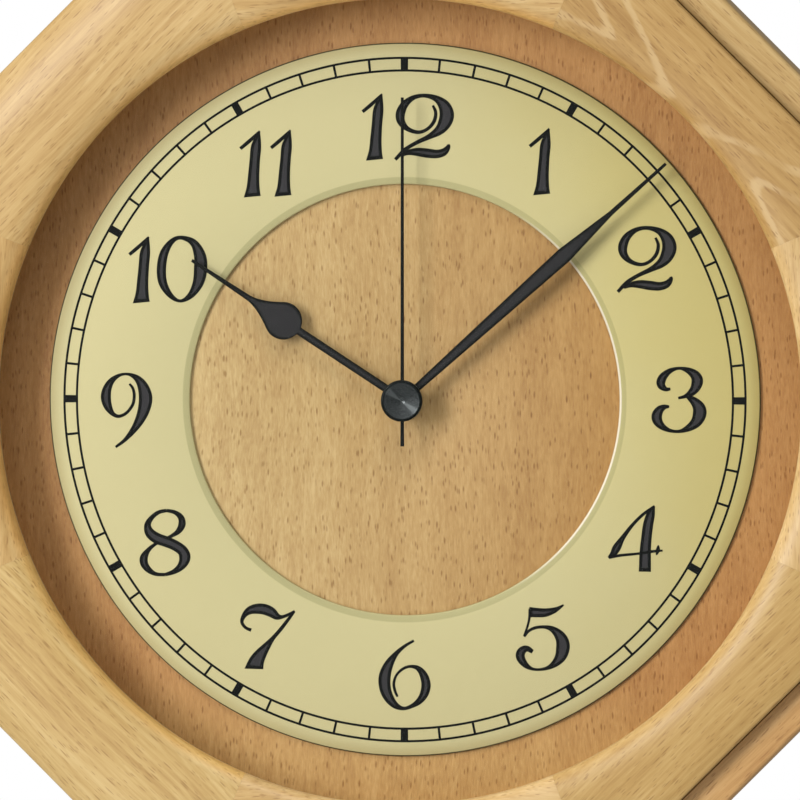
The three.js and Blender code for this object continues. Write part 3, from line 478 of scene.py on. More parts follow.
@dataclass(frozen=True)
class Satin(Finish):
    """A plain finish with a faint mottle: paint, plastic, metal, rubber or card."""

    colour: Colour
    roughness: float = 0.45
    metallic: float = 0.0
    mottle: float = 0.08
    grain: Point3 = (3.0, 3.0, 3.0)
    bump_depth: float = 0.02
    coat: float = 0.0

    def paint(self, shader: Shader) -> None:
        """Builds the finish, darker and lighter by its mottle."""
        cloud = shader.noise(shader.own_place(), self.grain, 4.0)
        darker = tuple(part * (1 - 2 * self.mottle) for part in self.colour)
        lighter = tuple(min(1.0, part * (1 + 2 * self.mottle)) for part in self.colour)
        shader.set(Base_Color=shader.ramp(cloud, (0.3, darker), (0.7, lighter)))
        shader.set(Roughness=self.roughness - 0.06 + cloud * 0.12, Metallic=self.metallic)
        shader.set(Coat_Weight=self.coat)
        shader.bump(cloud, self.bump_depth, 0.4)


@dataclass(frozen=True)
class Ink(Finish):
    """Printed or painted black: black along the edge of a stroke and dark grey inside it."""

    edge: Colour = (0.0035, 0.003, 0.0025)
    core: Colour = (0.04, 0.037, 0.04)
    roughness: float = 0.5
    gloss: float = 0.1

    def paint(self, shader: Shader) -> None:
        """Builds the ink from the strokes' own core attribute."""
        core = shader.node("Attribute", {"attribute_name": CORE}, {}, "Fac")
        grain = shader.noise(shader.own_place(), (0.6, 0.6, 0.6), 3.0)
        shader.set(Base_Color=shader.mix(core.between(0.3, 1.0), self.edge, self.core))
        shader.set(Roughness=self.roughness + grain * 0.1, Specular_IOR_Level=self.gloss)


@dataclass(frozen=True)
class Champagne(Finish):
    """The satin champagne coat of the chapter ring, with painted light and shade: a pale veil on the left, a
    duller, greener band of painted shade along both edges, a painted glint on the inner edge and a dark line
    along the outer edge.
    """

    name: str = "champagne_coat"
    colour: Colour = (0.64, 0.575, 0.292)
    # Painted reflection: the base colour is the pale, veiled left, and the gold is the right, where the veil
    # has faded.
    golden: Colour = (0.625, 0.53, 0.195)
    # Painted shade on the outer and inner bevels, and a painted glint along the inner edge.
    rim_shade: Colour = (0.87, 0.83, 0.76)
    edge: Colour = (0.16, 0.17, 0.13)
    rim_start: float = 120.4
    rim_end: float = 124.45
    bevel_end: float = 78.2
    bevel: Colour = (0.78, 0.79, 0.74)
    glint: Colour = (0.76, 0.68, 0.5)
    glint_start: float = 76.3
    veil_way: Point2 = (0.95, 0.25)
    veil_span: Point2 = (20.0, 120.0)
    wander: float = 40.0
    roughness: float = 0.42
    metallic: float = 0.25

    def paint(self, shader: Shader) -> None:
        """Builds the coat, whose painted veil of light fades to gold towards the right, with its painted
        bands of shade, its painted glint and its dark outer line.
        """
        place = shader.own_place()
        cloud = shader.noise(place, (45, 45, 45), 3.0)
        dust = shader.noise(place, (0.8, 0.8, 0.8), 2.0)
        x, _, z = shader.parts(place)
        # Painted reflection: a pale veil on the left that fades to gold towards the right.
        right, up = self.veil_way
        golden = (x * right + z * up + (cloud - 0.5) * self.wander).between(*self.veil_span)
        coat = shader.mix(golden, self.colour, self.golden)
        radius = shader.radius(place)
        # Painted shade on the outer rim's bevel.
        coat = shader.tinted(coat, self.rim_shade, radius.between(self.rim_start, self.rim_end))
        # Painted shade on the inner bevel.
        coat = shader.tinted(coat, self.bevel, radius.between(self.bevel_end, self.bevel_end - 0.4))
        # Painted highlight: a glint along the inner edge on the right, where its wall faces the light.
        lit = radius.between(self.glint_start + 0.1, self.glint_start - 0.1) * (x / radius).between(0.45, 0.8)
        coat = shader.mix(lit, coat, self.glint)
        coat = shader.tinted(coat, self.edge, radius.between(self.rim_end, self.rim_end + 0.25))
        shader.set(Base_Color=coat, Roughness=self.roughness + dust * 0.08, Metallic=self.metallic)


@dataclass(frozen=True)
class Glass(Finish):
    """Clear float glass, thin enough to be shown as a faint veil with gloss."""

    name: str = "float_glass"
    veil: float = 0.04
    tint: Colour = (0.05, 0.07, 0.06)

    def paint(self, shader: Shader) -> None:
        """Builds the pane's finish."""
        smear = shader.noise(shader.own_place(), (30, 30, 30), 2.0)
        shader.set(Base_Color=self.tint, Alpha=self.veil, Roughness=0.03 + smear * 0.04)


class Axis(Enum):
    """The direction of a turned piece's axis."""

    OUT = "away from the wall"
    UP = "upwards"
    ACROSS = "to the right"

    def place(self, across: Point2, along: float) -> Point3:
        """Turns a place about the axis into x, y and z; along is a height for the axis that stands out."""
        if self is Axis.OUT:
            return (across[0], -along, across[1])
        if self is Axis.UP:
            return (across[0], -across[1], along)
        return (along, -across[0], across[1])


@dataclass
class MeshDraft:
    """Vertices in millimetres and faces, gathered before they become an object."""

    vertices: list[Point3] = field(default_factory=list)
    faces: list[tuple[int, ...]] = field(default_factory=list)
    core: list[float] = field(default_factory=list)

    def sweep(self, rings: Sequence[Sequence[Point3]], closed: bool = False) -> "MeshDraft":
        """Joins equal rings of points into a closed skin.

        Args:
            rings: Closed sections, each with the same number of points.
            closed: Whether the last ring meets the first; otherwise both ends are capped.

        Returns:
            The draft itself, as box, plate and turn also do.
        """
        start = len(self.vertices)
        count = len(rings[0])
        for ring in rings:
            self.vertices.extend(ring)
        spans = len(rings) if closed else len(rings) - 1
        for i in range(spans):
            low = start + i * count
            high = start + ((i + 1) % len(rings)) * count
            for k in range(count):
                after = (k + 1) % count
                self.faces.append((low + k, low + after, high + after, high + k))
        if not closed:
            last = start + (len(rings) - 1) * count
            self.faces.append(tuple(range(start, start + count)))
            self.faces.append(tuple(reversed(range(last, last + count))))
        return self

    def turn(
        self,
        profile: Sequence[Point2],
        steps: int = 96,
        centre: Point2 = (0.0, 0.0),
        axis: Axis = Axis.OUT,
    ) -> "MeshDraft":
        """Turns a profile round an axis.

        Args:
            profile: Radius and distance along the axis. It closes on itself, or starts and ends on the axis.
            steps: The number of steps in a full turn.
            centre: Where the axis passes, in the two directions across it.
            axis: The axis, which stands out from the wall unless it is given.

        Returns:
            The draft itself.
        """
        rows = []
        for radius, along in profile:
            turns = steps if radius else 1
            row = []
            for i in range(turns):
                angle = math.tau * i / steps
                row.append(len(self.vertices))
                across = (centre[0] + radius * math.cos(angle), centre[1] + radius * math.sin(angle))
                self.vertices.append(axis.place(across, along))
            rows.append(row)
        pairs = list(zip(rows, rows[1:]))
        if len(rows[0]) > 1:
            pairs.append((rows[-1], rows[0]))
        for here, there in pairs:
            self._join(here, there, steps)
        return self

    def _join(self, here: list[int], there: list[int], steps: int) -> None:
        """Joins two rows of a turned skin, of which one may be a single point."""
        for i in range(steps):
            k = (i + 1) % steps
            if len(here) > 1 and len(there) > 1:
                self.faces.append((here[i], here[k], there[k], there[i]))
            elif len(here) > 1:
                self.faces.append((here[i], here[k], there[0]))
            elif len(there) > 1:
                self.faces.append((here[0], there[k], there[i]))

    def box(self, low: Point3, high: Point3) -> "MeshDraft":
        """Adds a block between two corners given as x, height and z."""
        (x0, h0, z0), (x1, h1, z1) = low, high
        corners = [(x0, z0), (x1, z0), (x1, z1), (x0, z1)]
        return self.sweep([[(x, -h, z) for x, z in corners] for h in (h0, h1)])

    def plate(self, outline: Sequence[Point2], low: float, high: float, bevel: float = 0.2) -> "MeshDraft":
        """Adds a flat plate with bevelled edges.

        Args:
            outline: Its outline in x and z, anticlockwise.
            low: The height of its rear face.
            high: The height of its front face.
            bevel: The width of the bevels.

        Returns:
            The draft itself.
        """
        inner = shrink(outline, bevel)
        if bevel:
            levels = ((inner, low), (outline, low + bevel), (outline, high - bevel), (inner, high))
        else:
            levels = ((outline, low), (outline, high))
        return self.sweep([[(x, -h, z) for x, z in ring] for ring, h in levels])

    def build(self, name: str, turn: Matrix | None = None, sharp: float = 35.0) -> Piece:
        """Makes the object, with its own axes at the dial centre.

        Args:
            name: The piece's name.
            turn: The direction of the piece's own axes.
            sharp: The angle in degrees above which an edge stays sharp.

        Returns:
            The new object.
        """
        mesh = bpy.data.meshes.new(name)
        mesh.from_pydata([Vector(v) * MM for v in self.vertices], [], self.faces)
        if self.core:
            attribute = mesh.attributes.new(CORE, "FLOAT", "POINT")
            attribute.data.foreach_set("value", self.core)
        face_out(mesh)
        shade(mesh, sharp)
        piece = bpy.data.objects.new(name, mesh)
        bpy.context.scene.collection.objects.link(piece)
        piece.matrix_world = Matrix.Translation(point(0, 0, 0)) @ (turn or Matrix.Identity(4))
        return piece


def shrink(outline: Sequence[Point2], inset: float) -> list[Point2]:
    """Moves an anticlockwise outline inwards by an inset at each corner."""
    moved = []
    count = len(outline)
    for i, (x, z) in enumerate(outline):
        before = Vector(outline[i]) - Vector(outline[i - 1])
        after = Vector(outline[(i + 1) % count]) - Vector(outline[i])
        one = Vector((-before.y, before.x)).normalized()
        two = Vector((-after.y, after.x)).normalized()
        lean = (one + two) / (1 + one.dot(two))
        moved.append((x + lean.x * inset, z + lean.y * inset))
    return moved


def face_out(mesh: bpy.types.Mesh) -> None:
    """Turns every face of a closed mesh outwards."""
    work = bmesh.new()
    work.from_mesh(mesh)
    bmesh.ops.recalc_face_normals(work, faces=work.faces)
    work.to_mesh(mesh)
    work.free()


def shade(mesh: bpy.types.Mesh, sharp: float) -> None:
    """Shades a mesh smooth apart from edges over the given angle in degrees."""
    mesh.polygons.foreach_set("use_smooth", [True] * len(mesh.polygons))
    mesh.set_sharp_from_angle(angle=math.radians(sharp))


def combine(piece: Piece, tool: Piece, operation: str, sharp: float = 30.0) -> None:
    """Cuts a closed tool out of a piece, or unites the two, and removes the tool.

    Args:
        piece: The piece.
        tool: What is cut away or added.
        operation: DIFFERENCE or UNION.
        sharp: The angle in degrees above which an edge stays sharp.
    """
    change = piece.modifiers.new("combine", "BOOLEAN")
    change.operation = operation
    change.object = tool
    change.solver = "EXACT"
    change.use_self = True
    bpy.context.view_layer.update()
    result = piece.evaluated_get(bpy.context.evaluated_depsgraph_get())
    mesh = bpy.data.meshes.new_from_object(result)
    piece.modifiers.clear()
    piece.data = mesh
    shade(mesh, sharp)
    bpy.data.objects.remove(tool)


def grain_axes(angle: float) -> Matrix:
    """Own axes of a board in a direction: X along its grain, Y into the wall and Z outwards."""
    along = (math.sin(angle), 0.0, -math.cos(angle))
    outward = (math.cos(angle), 0.0, math.sin(angle))
    return Matrix((along, (0.0, 1.0, 0.0), outward)).transposed().to_4x4()


def finish_piece(piece: Piece, body: str, slot: str, finish: Material, *nodes: str) -> None:
    """Dresses a new piece and ties it to the frame.

    Args:
        piece: The new piece.
        body: The body that it rides on.
        slot: The record's material slot; it is not used.
        finish: Its material.
        nodes: The CAD nodes that it stands for.
    """
    piece.data.materials.clear()
    piece.data.materials.append(finish)
    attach(piece, body)
    if nodes:
        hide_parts(*nodes)
    log.info("%s on %s: %d faces", piece.name, body, len(piece.data.polygons))


def dress_node(name: str, finish: Material, edge: float = 0.0) -> None:
    """Gives a CAD node a material and, if edge isn't nought, a small bevel in millimetres."""
    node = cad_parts[name]
    if not node.material_slots:
        node.data.materials.append(finish)
    for slot in node.material_slots:
        slot.material = finish
    if edge:
        bevel = node.modifiers.new("edge", "BEVEL")
        bevel.width = edge * MM
        bevel.segments = 2
        bevel.angle_limit = math.radians(40)
        bevel.limit_method = "ANGLE"
    log.info("%s dressed", name)


def arc(centre: Point2, radii: Point2, start: float, end: float, steps: int) -> list[Point2]:
    """Points of an ellipse's arc between two angles in degrees, both ends included."""
    angles = [math.radians(start + (end - start) * i / steps) for i in range(steps + 1)]
    return [(centre[0] + radii[0] * math.cos(a), centre[1] + radii[1] * math.sin(a)) for a in angles]


def spline(points: Sequence[Sequence[float]], spacing: float, closed: bool = False) -> list[list[float]]:
    """Runs a smooth curve through points of any dimension.

    Args:
        points: The points that it passes.
        spacing: The distance between samples, measured on the first two coordinates.
        closed: Whether it returns to its first point.

    Returns:
        The samples.
    """
    count = len(points)
    samples: list[list[float]] = []
    for i in range(count if closed else count - 1):
        if closed:
            a, b, c, d = (points[(i + k) % count] for k in (-1, 0, 1, 2))
        else:
            b, c = points[i], points[i + 1]
            a = points[i - 1] if i else [2 * p - q for p, q in zip(b, c)]
            d = points[i + 2] if i + 2 < count else [2 * q - p for p, q in zip(b, c)]
        steps = max(3, math.ceil(math.dist(b[:2], c[:2]) / spacing))
        for k in range(steps):
            t = k / steps
            samples.append([catmull(w, x, y, z, t) for w, x, y, z in zip(a, b, c, d)])
    if not closed:
        samples.append(list(points[-1]))
    return samples


def catmull(a: float, b: float, c: float, d: float, t: float) -> float:
    """One coordinate of a Catmull-Rom curve between b and c."""
    rise = c - a
    bend = 2 * a - 5 * b + 4 * c - d
    twist = 3 * b - a - 3 * c + d
    return b + 0.5 * t * (rise + t * (bend + t * twist))


@dataclass(frozen=True)
class Wood:
    """The staves' shared finish, shifted along the board so that no two staves match.

    The staves on the right are warmer, and light is painted on the lips: paler where they face the light,
    warmer and brighter where they turn from it.
    """

    stretch: float = 517.0
    tints: tuple[tuple[StaveSide, Colour], ...] = (
        (StaveSide.UPPER_LEFT, (0.97, 0.99, 1.01)),
        (StaveSide.UPPER_RIGHT, (0.83, 0.78, 0.66)),
        (StaveSide.LOWER_RIGHT, (0.86, 0.82, 0.66)),
        (StaveSide.LOWER_LEFT, (0.98, 1.02, 0.98)),
    )
    ledge_tints: tuple[tuple[StaveSide, Colour], ...] = (
        (StaveSide.UPPER_RIGHT, (0.92, 0.94, 0.94)),
        (StaveSide.LOWER_RIGHT, (1.0, 0.89, 0.84)),
    )
    # Painted highlights: paler lips on the staves that face the light; the other staves keep the warm painted
    # light of Beech.
    lip_lights: tuple[tuple[StaveSide, Colour], ...] = (
        (StaveSide.RIGHT, (1.2, 1.24, 1.4)),
        (StaveSide.BOTTOM, (1.2, 1.24, 1.4)),
        (StaveSide.LOWER_RIGHT, (1.2, 1.24, 1.5)),
        (StaveSide.UPPER_RIGHT, (1.08, 1.04, 1.0)),
    )

    def of_stave(self, side: StaveSide, layer: float, lip: float = 0.0) -> Material:
        """Makes one stave's beech.

        Args:
            side: The stave.
            layer: How far the board is shifted across its grain, in millimetres.
            lip: The radius of its lip, if it has one.

        Returns:
            The material.
        """
        figure = Figure.ARCHED if side is StaveSide.UPPER_RIGHT else Figure.PLAIN
        shift = (self.stretch * side.value, layer, layer * 1.7)
        tint = dict(self.tints if lip else self.ledge_tints).get(side, (1.0, 1.0, 1.0))
        beech = Beech(f"beech_{side.label}_{layer:.0f}", shift, tint, figure=figure, lip=lip)
        return replace(beech, lip_light=dict(self.lip_lights).get(side, beech.lip_light)).material()


@dataclass
class StaveRing:
    """Eight mitred staves round the dial centre, as the case and the door have."""

    apothem: float = 180.0
    seam: float = 0.04
    steps: int = 30
    ledge: float = 12.2
    sharp: float = 32.0

    def reach(self, angle: float, set_back: float = 0.0) -> tuple[float, float]:
        """Finds the outline in one direction.

        Args:
            angle: The direction from the dial centre, in radians.
            set_back: How far the right-hand sides stand back from the rest.

        Returns:
            The radius of the outline, and the cosine that turns a distance from a side into a radius.
        """
        found = []
        for side in StaveSide:
            lean = math.cos(angle - side.angle)
            distance = self.apothem - (set_back if side.has_ledge else 0.0)
            if lean > 0.5:
                found.append((distance / lean, lean))
        return min(found)

    def kink(self, set_back: float) -> float:
        """The direction in which the set-back line of the upper right side meets the top side."""
        return math.atan2(self.apothem, (self.apothem - set_back) * math.sqrt(2) - self.apothem)

    def directions(self, side: StaveSide, kinks: Iterable[float] = ()) -> list[float]:
        """The directions of a stave's sections, from mitre to mitre, with any kinks among them."""
        half = TURN / 2 - self.seam / 2 / self.apothem
        even = [side.angle - half + 2 * half * i / self.steps for i in range(self.steps + 1)]
        extra = [k for k in kinks if abs(k - side.angle) < half]
        return sorted(even + extra)

    def sweep(self, name: str, side: StaveSide, section: Section, angles: Iterable[float]) -> Piece:
        """Sweeps a section along one stave.

        Args:
            name: The piece's name.
            side: The stave.
            section: Gives the closed section of radius and height in one direction.
            angles: The directions of the sections, in radians.

        Returns:
            The stave, with its own X axis along the grain.
        """
        rings = []
        for angle in angles:
            away = angle - side.angle
            c, s = math.cos(away), math.sin(away)
            rings.append([(-r * s, -h, r * c) for r, h in section(angle)])
        return MeshDraft().sweep(rings).build(name, grain_axes(side.angle), self.sharp)


def dress_stave(
    stave: Piece, body: str, side: StaveSide, pockets: dict[StaveSide, MeshDraft], beech: Material
) -> None:
    """Cuts a stave's pocket, if it has one, and dresses it.

    Args:
        stave: The stave.
        body: The body that it rides on, case or door.
        side: Its side of the frame.
        pockets: The pockets of the body's staves.
        beech: Its material.
    """
    if side in pockets:
        combine(stave, pockets[side].build("pocket"), "DIFFERENCE", CARVED_EDGE)
    finish_piece(stave, body, f"{body}_beech", beech, f"{body}_stave_{side.label}")


def leaf_pocket(low: float, high: float) -> MeshDraft:
    """The room for a leaf of the hinge, from outside the frame to the leaf's end."""
    outside = -190.0
    return MeshDraft().box((outside, low, -LEAF_POCKET_HALF), (LEAF_END, high, LEAF_POCKET_HALF))


@dataclass
class Case:
    """The rear box of the frame, which rises on the right to a ledge beside the door."""

    ring: StaveRing
    rear: float = 3.0
    front: float = 40.0
    ledge_front: float = 48.5
    ledge_round: float = 1.8
    door_room: float = 0.25
    ledge_arris: float = 0.2
    bore: float = 146.0
    rebate: float = 150.0
    shoulder: float = 26.3
    edge_round: float = 2.0
    taper: float = 6.0
    taper_end: float = 28.0
    arris: float = 0.5
    layer: float = 40.0
    rim_end_root: float = 8.0
    rim_end_share: float = 0.995
    leaf_seat: float = 38.55
    magnet_seat: float = 34.4
    magnet_radius: float = 4.3
    nail_room: tuple[Point3, Point3] = ((-6.7, 0.0, 150.3), (6.7, 11.0, 169.5))

    def inside(self) -> list[Point2]:
        """The section's inner half: rebate, shoulder and bore, up to the front."""
        return [
            (self.rebate + self.arris, self.rear),
            (self.rebate, self.rear + self.arris),
            (self.rebate, self.shoulder),
            (self.bore, self.shoulder),
            (self.bore, self.front - self.arris),
            (self.bore + self.arris, self.front),
        ]

    def outside(self, lean: float) -> list[Point2]:
        """The section's outer side below the front, with its taper towards the wall."""
        flat = self.ring.apothem
        foot = flat - self.taper
        rows = [(flat, self.taper_end), (foot, self.rear + self.arris), (foot - self.arris, self.rear)]
        return [(distance / lean, height) for distance, height in rows]

    def section(self, angle: float) -> list[Point2]:
        """The case's section where it ends behind the door."""
        _, lean = self.ring.reach(angle)
        middle = (self.ring.apothem - self.edge_round, self.front - self.edge_round)
        edge = arc(middle, (self.edge_round, self.edge_round), 90, 0, 5)
        return self.inside() + [(d / lean, h) for d, h in edge] + self.outside(lean)

    def ledged_section(self, angle: float) -> list[Point2]:
        """The case's section where it rises beside the door."""
        _, lean = self.ring.reach(angle)
        rim = self.rim(angle)
        return self.inside() + [(rim[0][0], self.front), *rim] + self.outside(lean)

    def rim(self, angle: float) -> list[Point2]:
        """The raised ledge: its inner edge, its face and its rounded outer edge."""
        outline, lean = self.ring.reach(angle)
        inner, _ = self.ring.reach(angle, self.ring.ledge - self.door_room)
        width = (outline - inner) * lean
        soft = min(self.ledge_arris, width / 3)
        steps = [self.ledge_round * (1 - math.sin(math.pi / 2 * i / 9)) for i in range(10)]
        offsets = [min(step, width - soft) for step in steps]
        face = [(outline - offset / lean, self.rim_height(offset)) for offset in offsets]
        first = (inner, self.rim_height(width) - soft)
        return [first, (inner + soft / lean, self.rim_height(width - soft)), *face]

    def rim_height(self, offset: float) -> float:
        """The height of the ledge at a distance from its outer side."""
        short = max(0.0, self.ledge_round - offset)
        return self.ledge_front - self.ledge_round + math.sqrt(self.ledge_round**2 - short**2)

    def rim_end(self, side: StaveSide) -> Piece:
        """The tip of the ledge that runs out on the top or bottom stave."""
        kink = self.ring.kink(self.ring.ledge - self.door_room)
        mitre = TURN * 1.5 + self.ring.seam / 2 / self.ring.apothem
        tip = mitre + (kink - mitre) * self.rim_end_share
        angles = [mitre + (tip - mitre) * i / 6 for i in range(7)]
        if side is StaveSide.BOTTOM:
            angles = [math.tau - angle for angle in reversed(angles)]
        buried = self.front - self.rim_end_root

        def section(angle: float) -> list[Point2]:
            rim = self.rim(angle)
            return [(rim[0][0], buried), *rim, (rim[-1][0], buried)]

        return self.ring.sweep("rim_end", side, section, angles)

    def build(self, wood: Wood) -> None:
        """Makes the eight case staves and cuts their pockets."""
        pockets = self.pockets()
        for side in StaveSide:
            section = self.ledged_section if side.has_ledge else self.section
            stave = self.ring.sweep(f"case_rail_{side.label}", side, section, self.ring.directions(side))
            if side in (StaveSide.TOP, StaveSide.BOTTOM):
                combine(stave, self.rim_end(side), "UNION")
            dress_stave(stave, "case", side, pockets, wood.of_stave(side, self.layer))

    def pockets(self) -> dict[StaveSide, MeshDraft]:
        """The room for the hinge's leaf, the magnet and the nail behind the hanger plate."""
        above = self.front + 2
        magnet = [(0, self.magnet_seat), (self.magnet_radius, self.magnet_seat)]
        magnet += [(self.magnet_radius, above), (0, above)]
        return {
            StaveSide.LEFT: leaf_pocket(self.leaf_seat, above),
            StaveSide.RIGHT: MeshDraft().turn(magnet, 48, (CATCH_X, 0)),
            StaveSide.TOP: MeshDraft().box(*self.nail_room),
        }


@dataclass
class Door:
    """The moulded front frame that carries the glass."""

    ring: StaveRing
    rear: float = 40.6
    front: float = 55.0
    lip: float = 140.7
    lip_rear: float = 45.6
    lip_front: float = 47.2
    glass_seat: float = 145.3
    inner_width: float = 15.0
    outer_width: float = 21.0
    outer_radius: float = 35.0
    edge_round: float = 0.8
    arris: float = 0.4
    mould_steps: int = 18
    mould_square: float = 2.8
    layer: float = 300.0
    leaf_seat: float = 42.05
    strike_radius: float = 4.9
    strike_seat: float = 42.1
    spike_radius: float = 1.2
    spike_end: float = 48.4

    def height(self, angle: float, radius: float) -> float:
        """The height of the moulded face outside its crest."""
        nearest = max(radius * math.cos(angle - side.angle) for side in StaveSide)
        past = max(0.0, nearest - (self.ring.apothem - self.outer_width))
        height = self.front - self.outer_radius + math.sqrt(self.outer_radius**2 - past**2)
        outline, lean = self.ring.reach(angle, self.ring.ledge)
        short = self.edge_round - (outline - radius) * lean
        if short > 0:
            height -= self.edge_round - math.sqrt(max(0.0, self.edge_round**2 - short**2))
        return height

    def offsets(self, side: StaveSide) -> list[float]:
        """Distances from the outline at which the section has its points, the greatest first."""
        edge = [math.sin(math.pi / 2 * i / 4) for i in range(5)]
        found = {self.outer_width * i / self.mould_steps for i in range(1, self.mould_steps + 1)}
        found |= {round(self.edge_round * (1 - t), 4) for t in edge}
        most = self.ring.ledge - 2 if side.has_ledge else self.outer_width
        return sorted((offset for offset in found if offset <= most), reverse=True)

    def section(self, side: StaveSide, angle: float) -> list[Point2]:
        """The door's section in one direction: rear, outside, mould, lip and glass rebate."""
        outline, lean = self.ring.reach(angle, self.ring.ledge)
        power = 2 / self.mould_square
        mould = []
        for i in range(self.mould_steps + 1):
            turn = math.pi / 2 * i / self.mould_steps
            along = self.inner_width * (1 - abs(math.cos(turn)) ** power)
            rise = (self.front - self.lip_front) * math.sin(turn) ** power
            mould.append((self.lip + along, self.lip_front + rise))
        face = [outline - offset / lean for offset in self.offsets(side)]
        return [
            (self.glass_seat, self.lip_rear),
            (self.lip + self.arris, self.lip_rear),
            (self.lip, self.lip_rear + self.arris),
            *mould,
            *((radius, self.height(angle, radius)) for radius in face),
            (outline, self.rear + self.arris),
            (outline - self.arris, self.rear),
            (self.glass_seat, self.rear),
        ]

    def build(self, wood: Wood) -> None:
        """Makes the eight door staves and cuts the pockets for the hinge and the strike."""
        pockets = self.pockets()
        corner = self.ring.kink(self.ring.ledge)
        for side in StaveSide:
            angles = self.ring.directions(side, (corner, math.tau - corner))
            stave = self.ring.sweep(f"door_rail_{side.label}", side, partial(self.section, side), angles)
            dress_stave(stave, "door", side, pockets, wood.of_stave(side, self.layer, self.lip))

    def pockets(self) -> dict[StaveSide, MeshDraft]:
        """The room for the hinge's leaf, and for the strike with its spike."""
        below = 39.0
        strike = [(0, below), (self.strike_radius, below), (self.strike_radius, self.strike_seat)]
        strike += [(self.spike_radius, self.strike_seat), (self.spike_radius, self.spike_end)]
        strike += [(0, self.spike_end)]
        return {
            StaveSide.LEFT: leaf_pocket(below, self.leaf_seat),
            StaveSide.RIGHT: MeshDraft().turn(strike, 48, (CATCH_X, 0)),
        }


@dataclass
class Glazing:
    """The pane and the bead that holds it."""

    radius: float = 145.0
    ground: float = 0.3
    bead_inner: float = 141.0

    def build(self) -> None:
        """Makes the pane with its ground edge, and the bead."""
        rear, front = heights("glass_pane")
        flat = self.radius - self.ground
        profile = [(0, rear), (flat, rear), (self.radius, rear + self.ground)]
        profile += [(self.radius, front - self.ground), (flat, front), (0, front)]
        pane = MeshDraft().turn(profile, ROUND_STEPS).build("dial_glass")
        finish_piece(pane, "door", "clear_glass", Glass().material(), "glass_pane")
        fibre_ring("glass_bead_ring", "fibre_bead", "door", self.bead_inner, self.radius, "glass_bead")


def fibre_ring(name: str, finish: str, body: str, inner: float, outer: float, node: str) -> None:
    """Makes a ring of dark fibre board with rounded corners.

    Args:
        name: The piece's name.
        finish: The material's name.
        body: The body that it rides on.
        inner: Its inner radius.
        outer: Its outer radius.
        node: The CAD node that it stands for.
    """
    section = rounded_section(inner, outer, *heights(node), 0.8)
    piece = MeshDraft().turn(section, ROUND_STEPS).build(name)
    fibre = Satin(finish, (0.30, 0.19, 0.10), 0.8, grain=(1.5, 1.5, 1.5), mottle=0.16, bump_depth=0.06)
    finish_piece(piece, body, "fibre_board", fibre.material(), node)


def rounded_section(inner: float, outer: float, low: float, high: float, corner: float) -> list[Point2]:
    """A rectangle of radius and height with rounded corners."""
    points: list[Point2] = []
    corners = ((outer, high, 90, 0), (outer, low, 0, -90), (inner, low, 270, 180), (inner, high, 180, 90))
    for radius, height, start, end in corners:
        x = radius + (corner if radius == inner else -corner)
        y = height + (corner if height == low else -corner)
        points += arc((x, y), (corner, corner), start, end, 3)
    return points


@dataclass
class DialBoard:
    """The veneered board behind the hands, and the ring that holds it in the case."""

    radius: float = 149.7
    bush_hole: float = 4.3
    corner: float = 0.4
    ring_inner: float = 146.0

    def build(self) -> None:
        """Makes the board, with its grain upright, and the retaining ring."""
        rear, front = heights("dial_board")
        section = rounded_section(self.bush_hole, self.radius, rear, front, self.corner)
        veneer = Veneer(
            "beech_veneer",
            (1300.0, 0.0, 71.0),
            pale=(0.79, 0.53, 0.25),
            middle=(0.67, 0.42, 0.174),
            dark=(0.54, 0.306, 0.114),
            fleck=(0.38, 0.19, 0.055),
            contrast=(0.34, 0.36, 0.36),
            streak_lengths=(8.0, 1.5, 1.3),
            fibre_lengths=(2.8, 0.55, 0.5),
            fleck_cells=(FleckCell(4.6, 1.35, 0.31, 0.75), FleckCell(6.5, 1.7, 0.26, 0.85)),
            roughness=0.48,
            coat=0.0,
            face=front - 1.0,
        )
        piece = MeshDraft().turn(section, ROUND_STEPS).build("dial_veneer_board", grain_axes(0))
        finish_piece(piece, "case", "dial_veneer", veneer.material(), "dial_board")
        fibre_ring("board_ring", "fibre_ring", "case", self.ring_inner, self.radius, "board_retaining_ring")


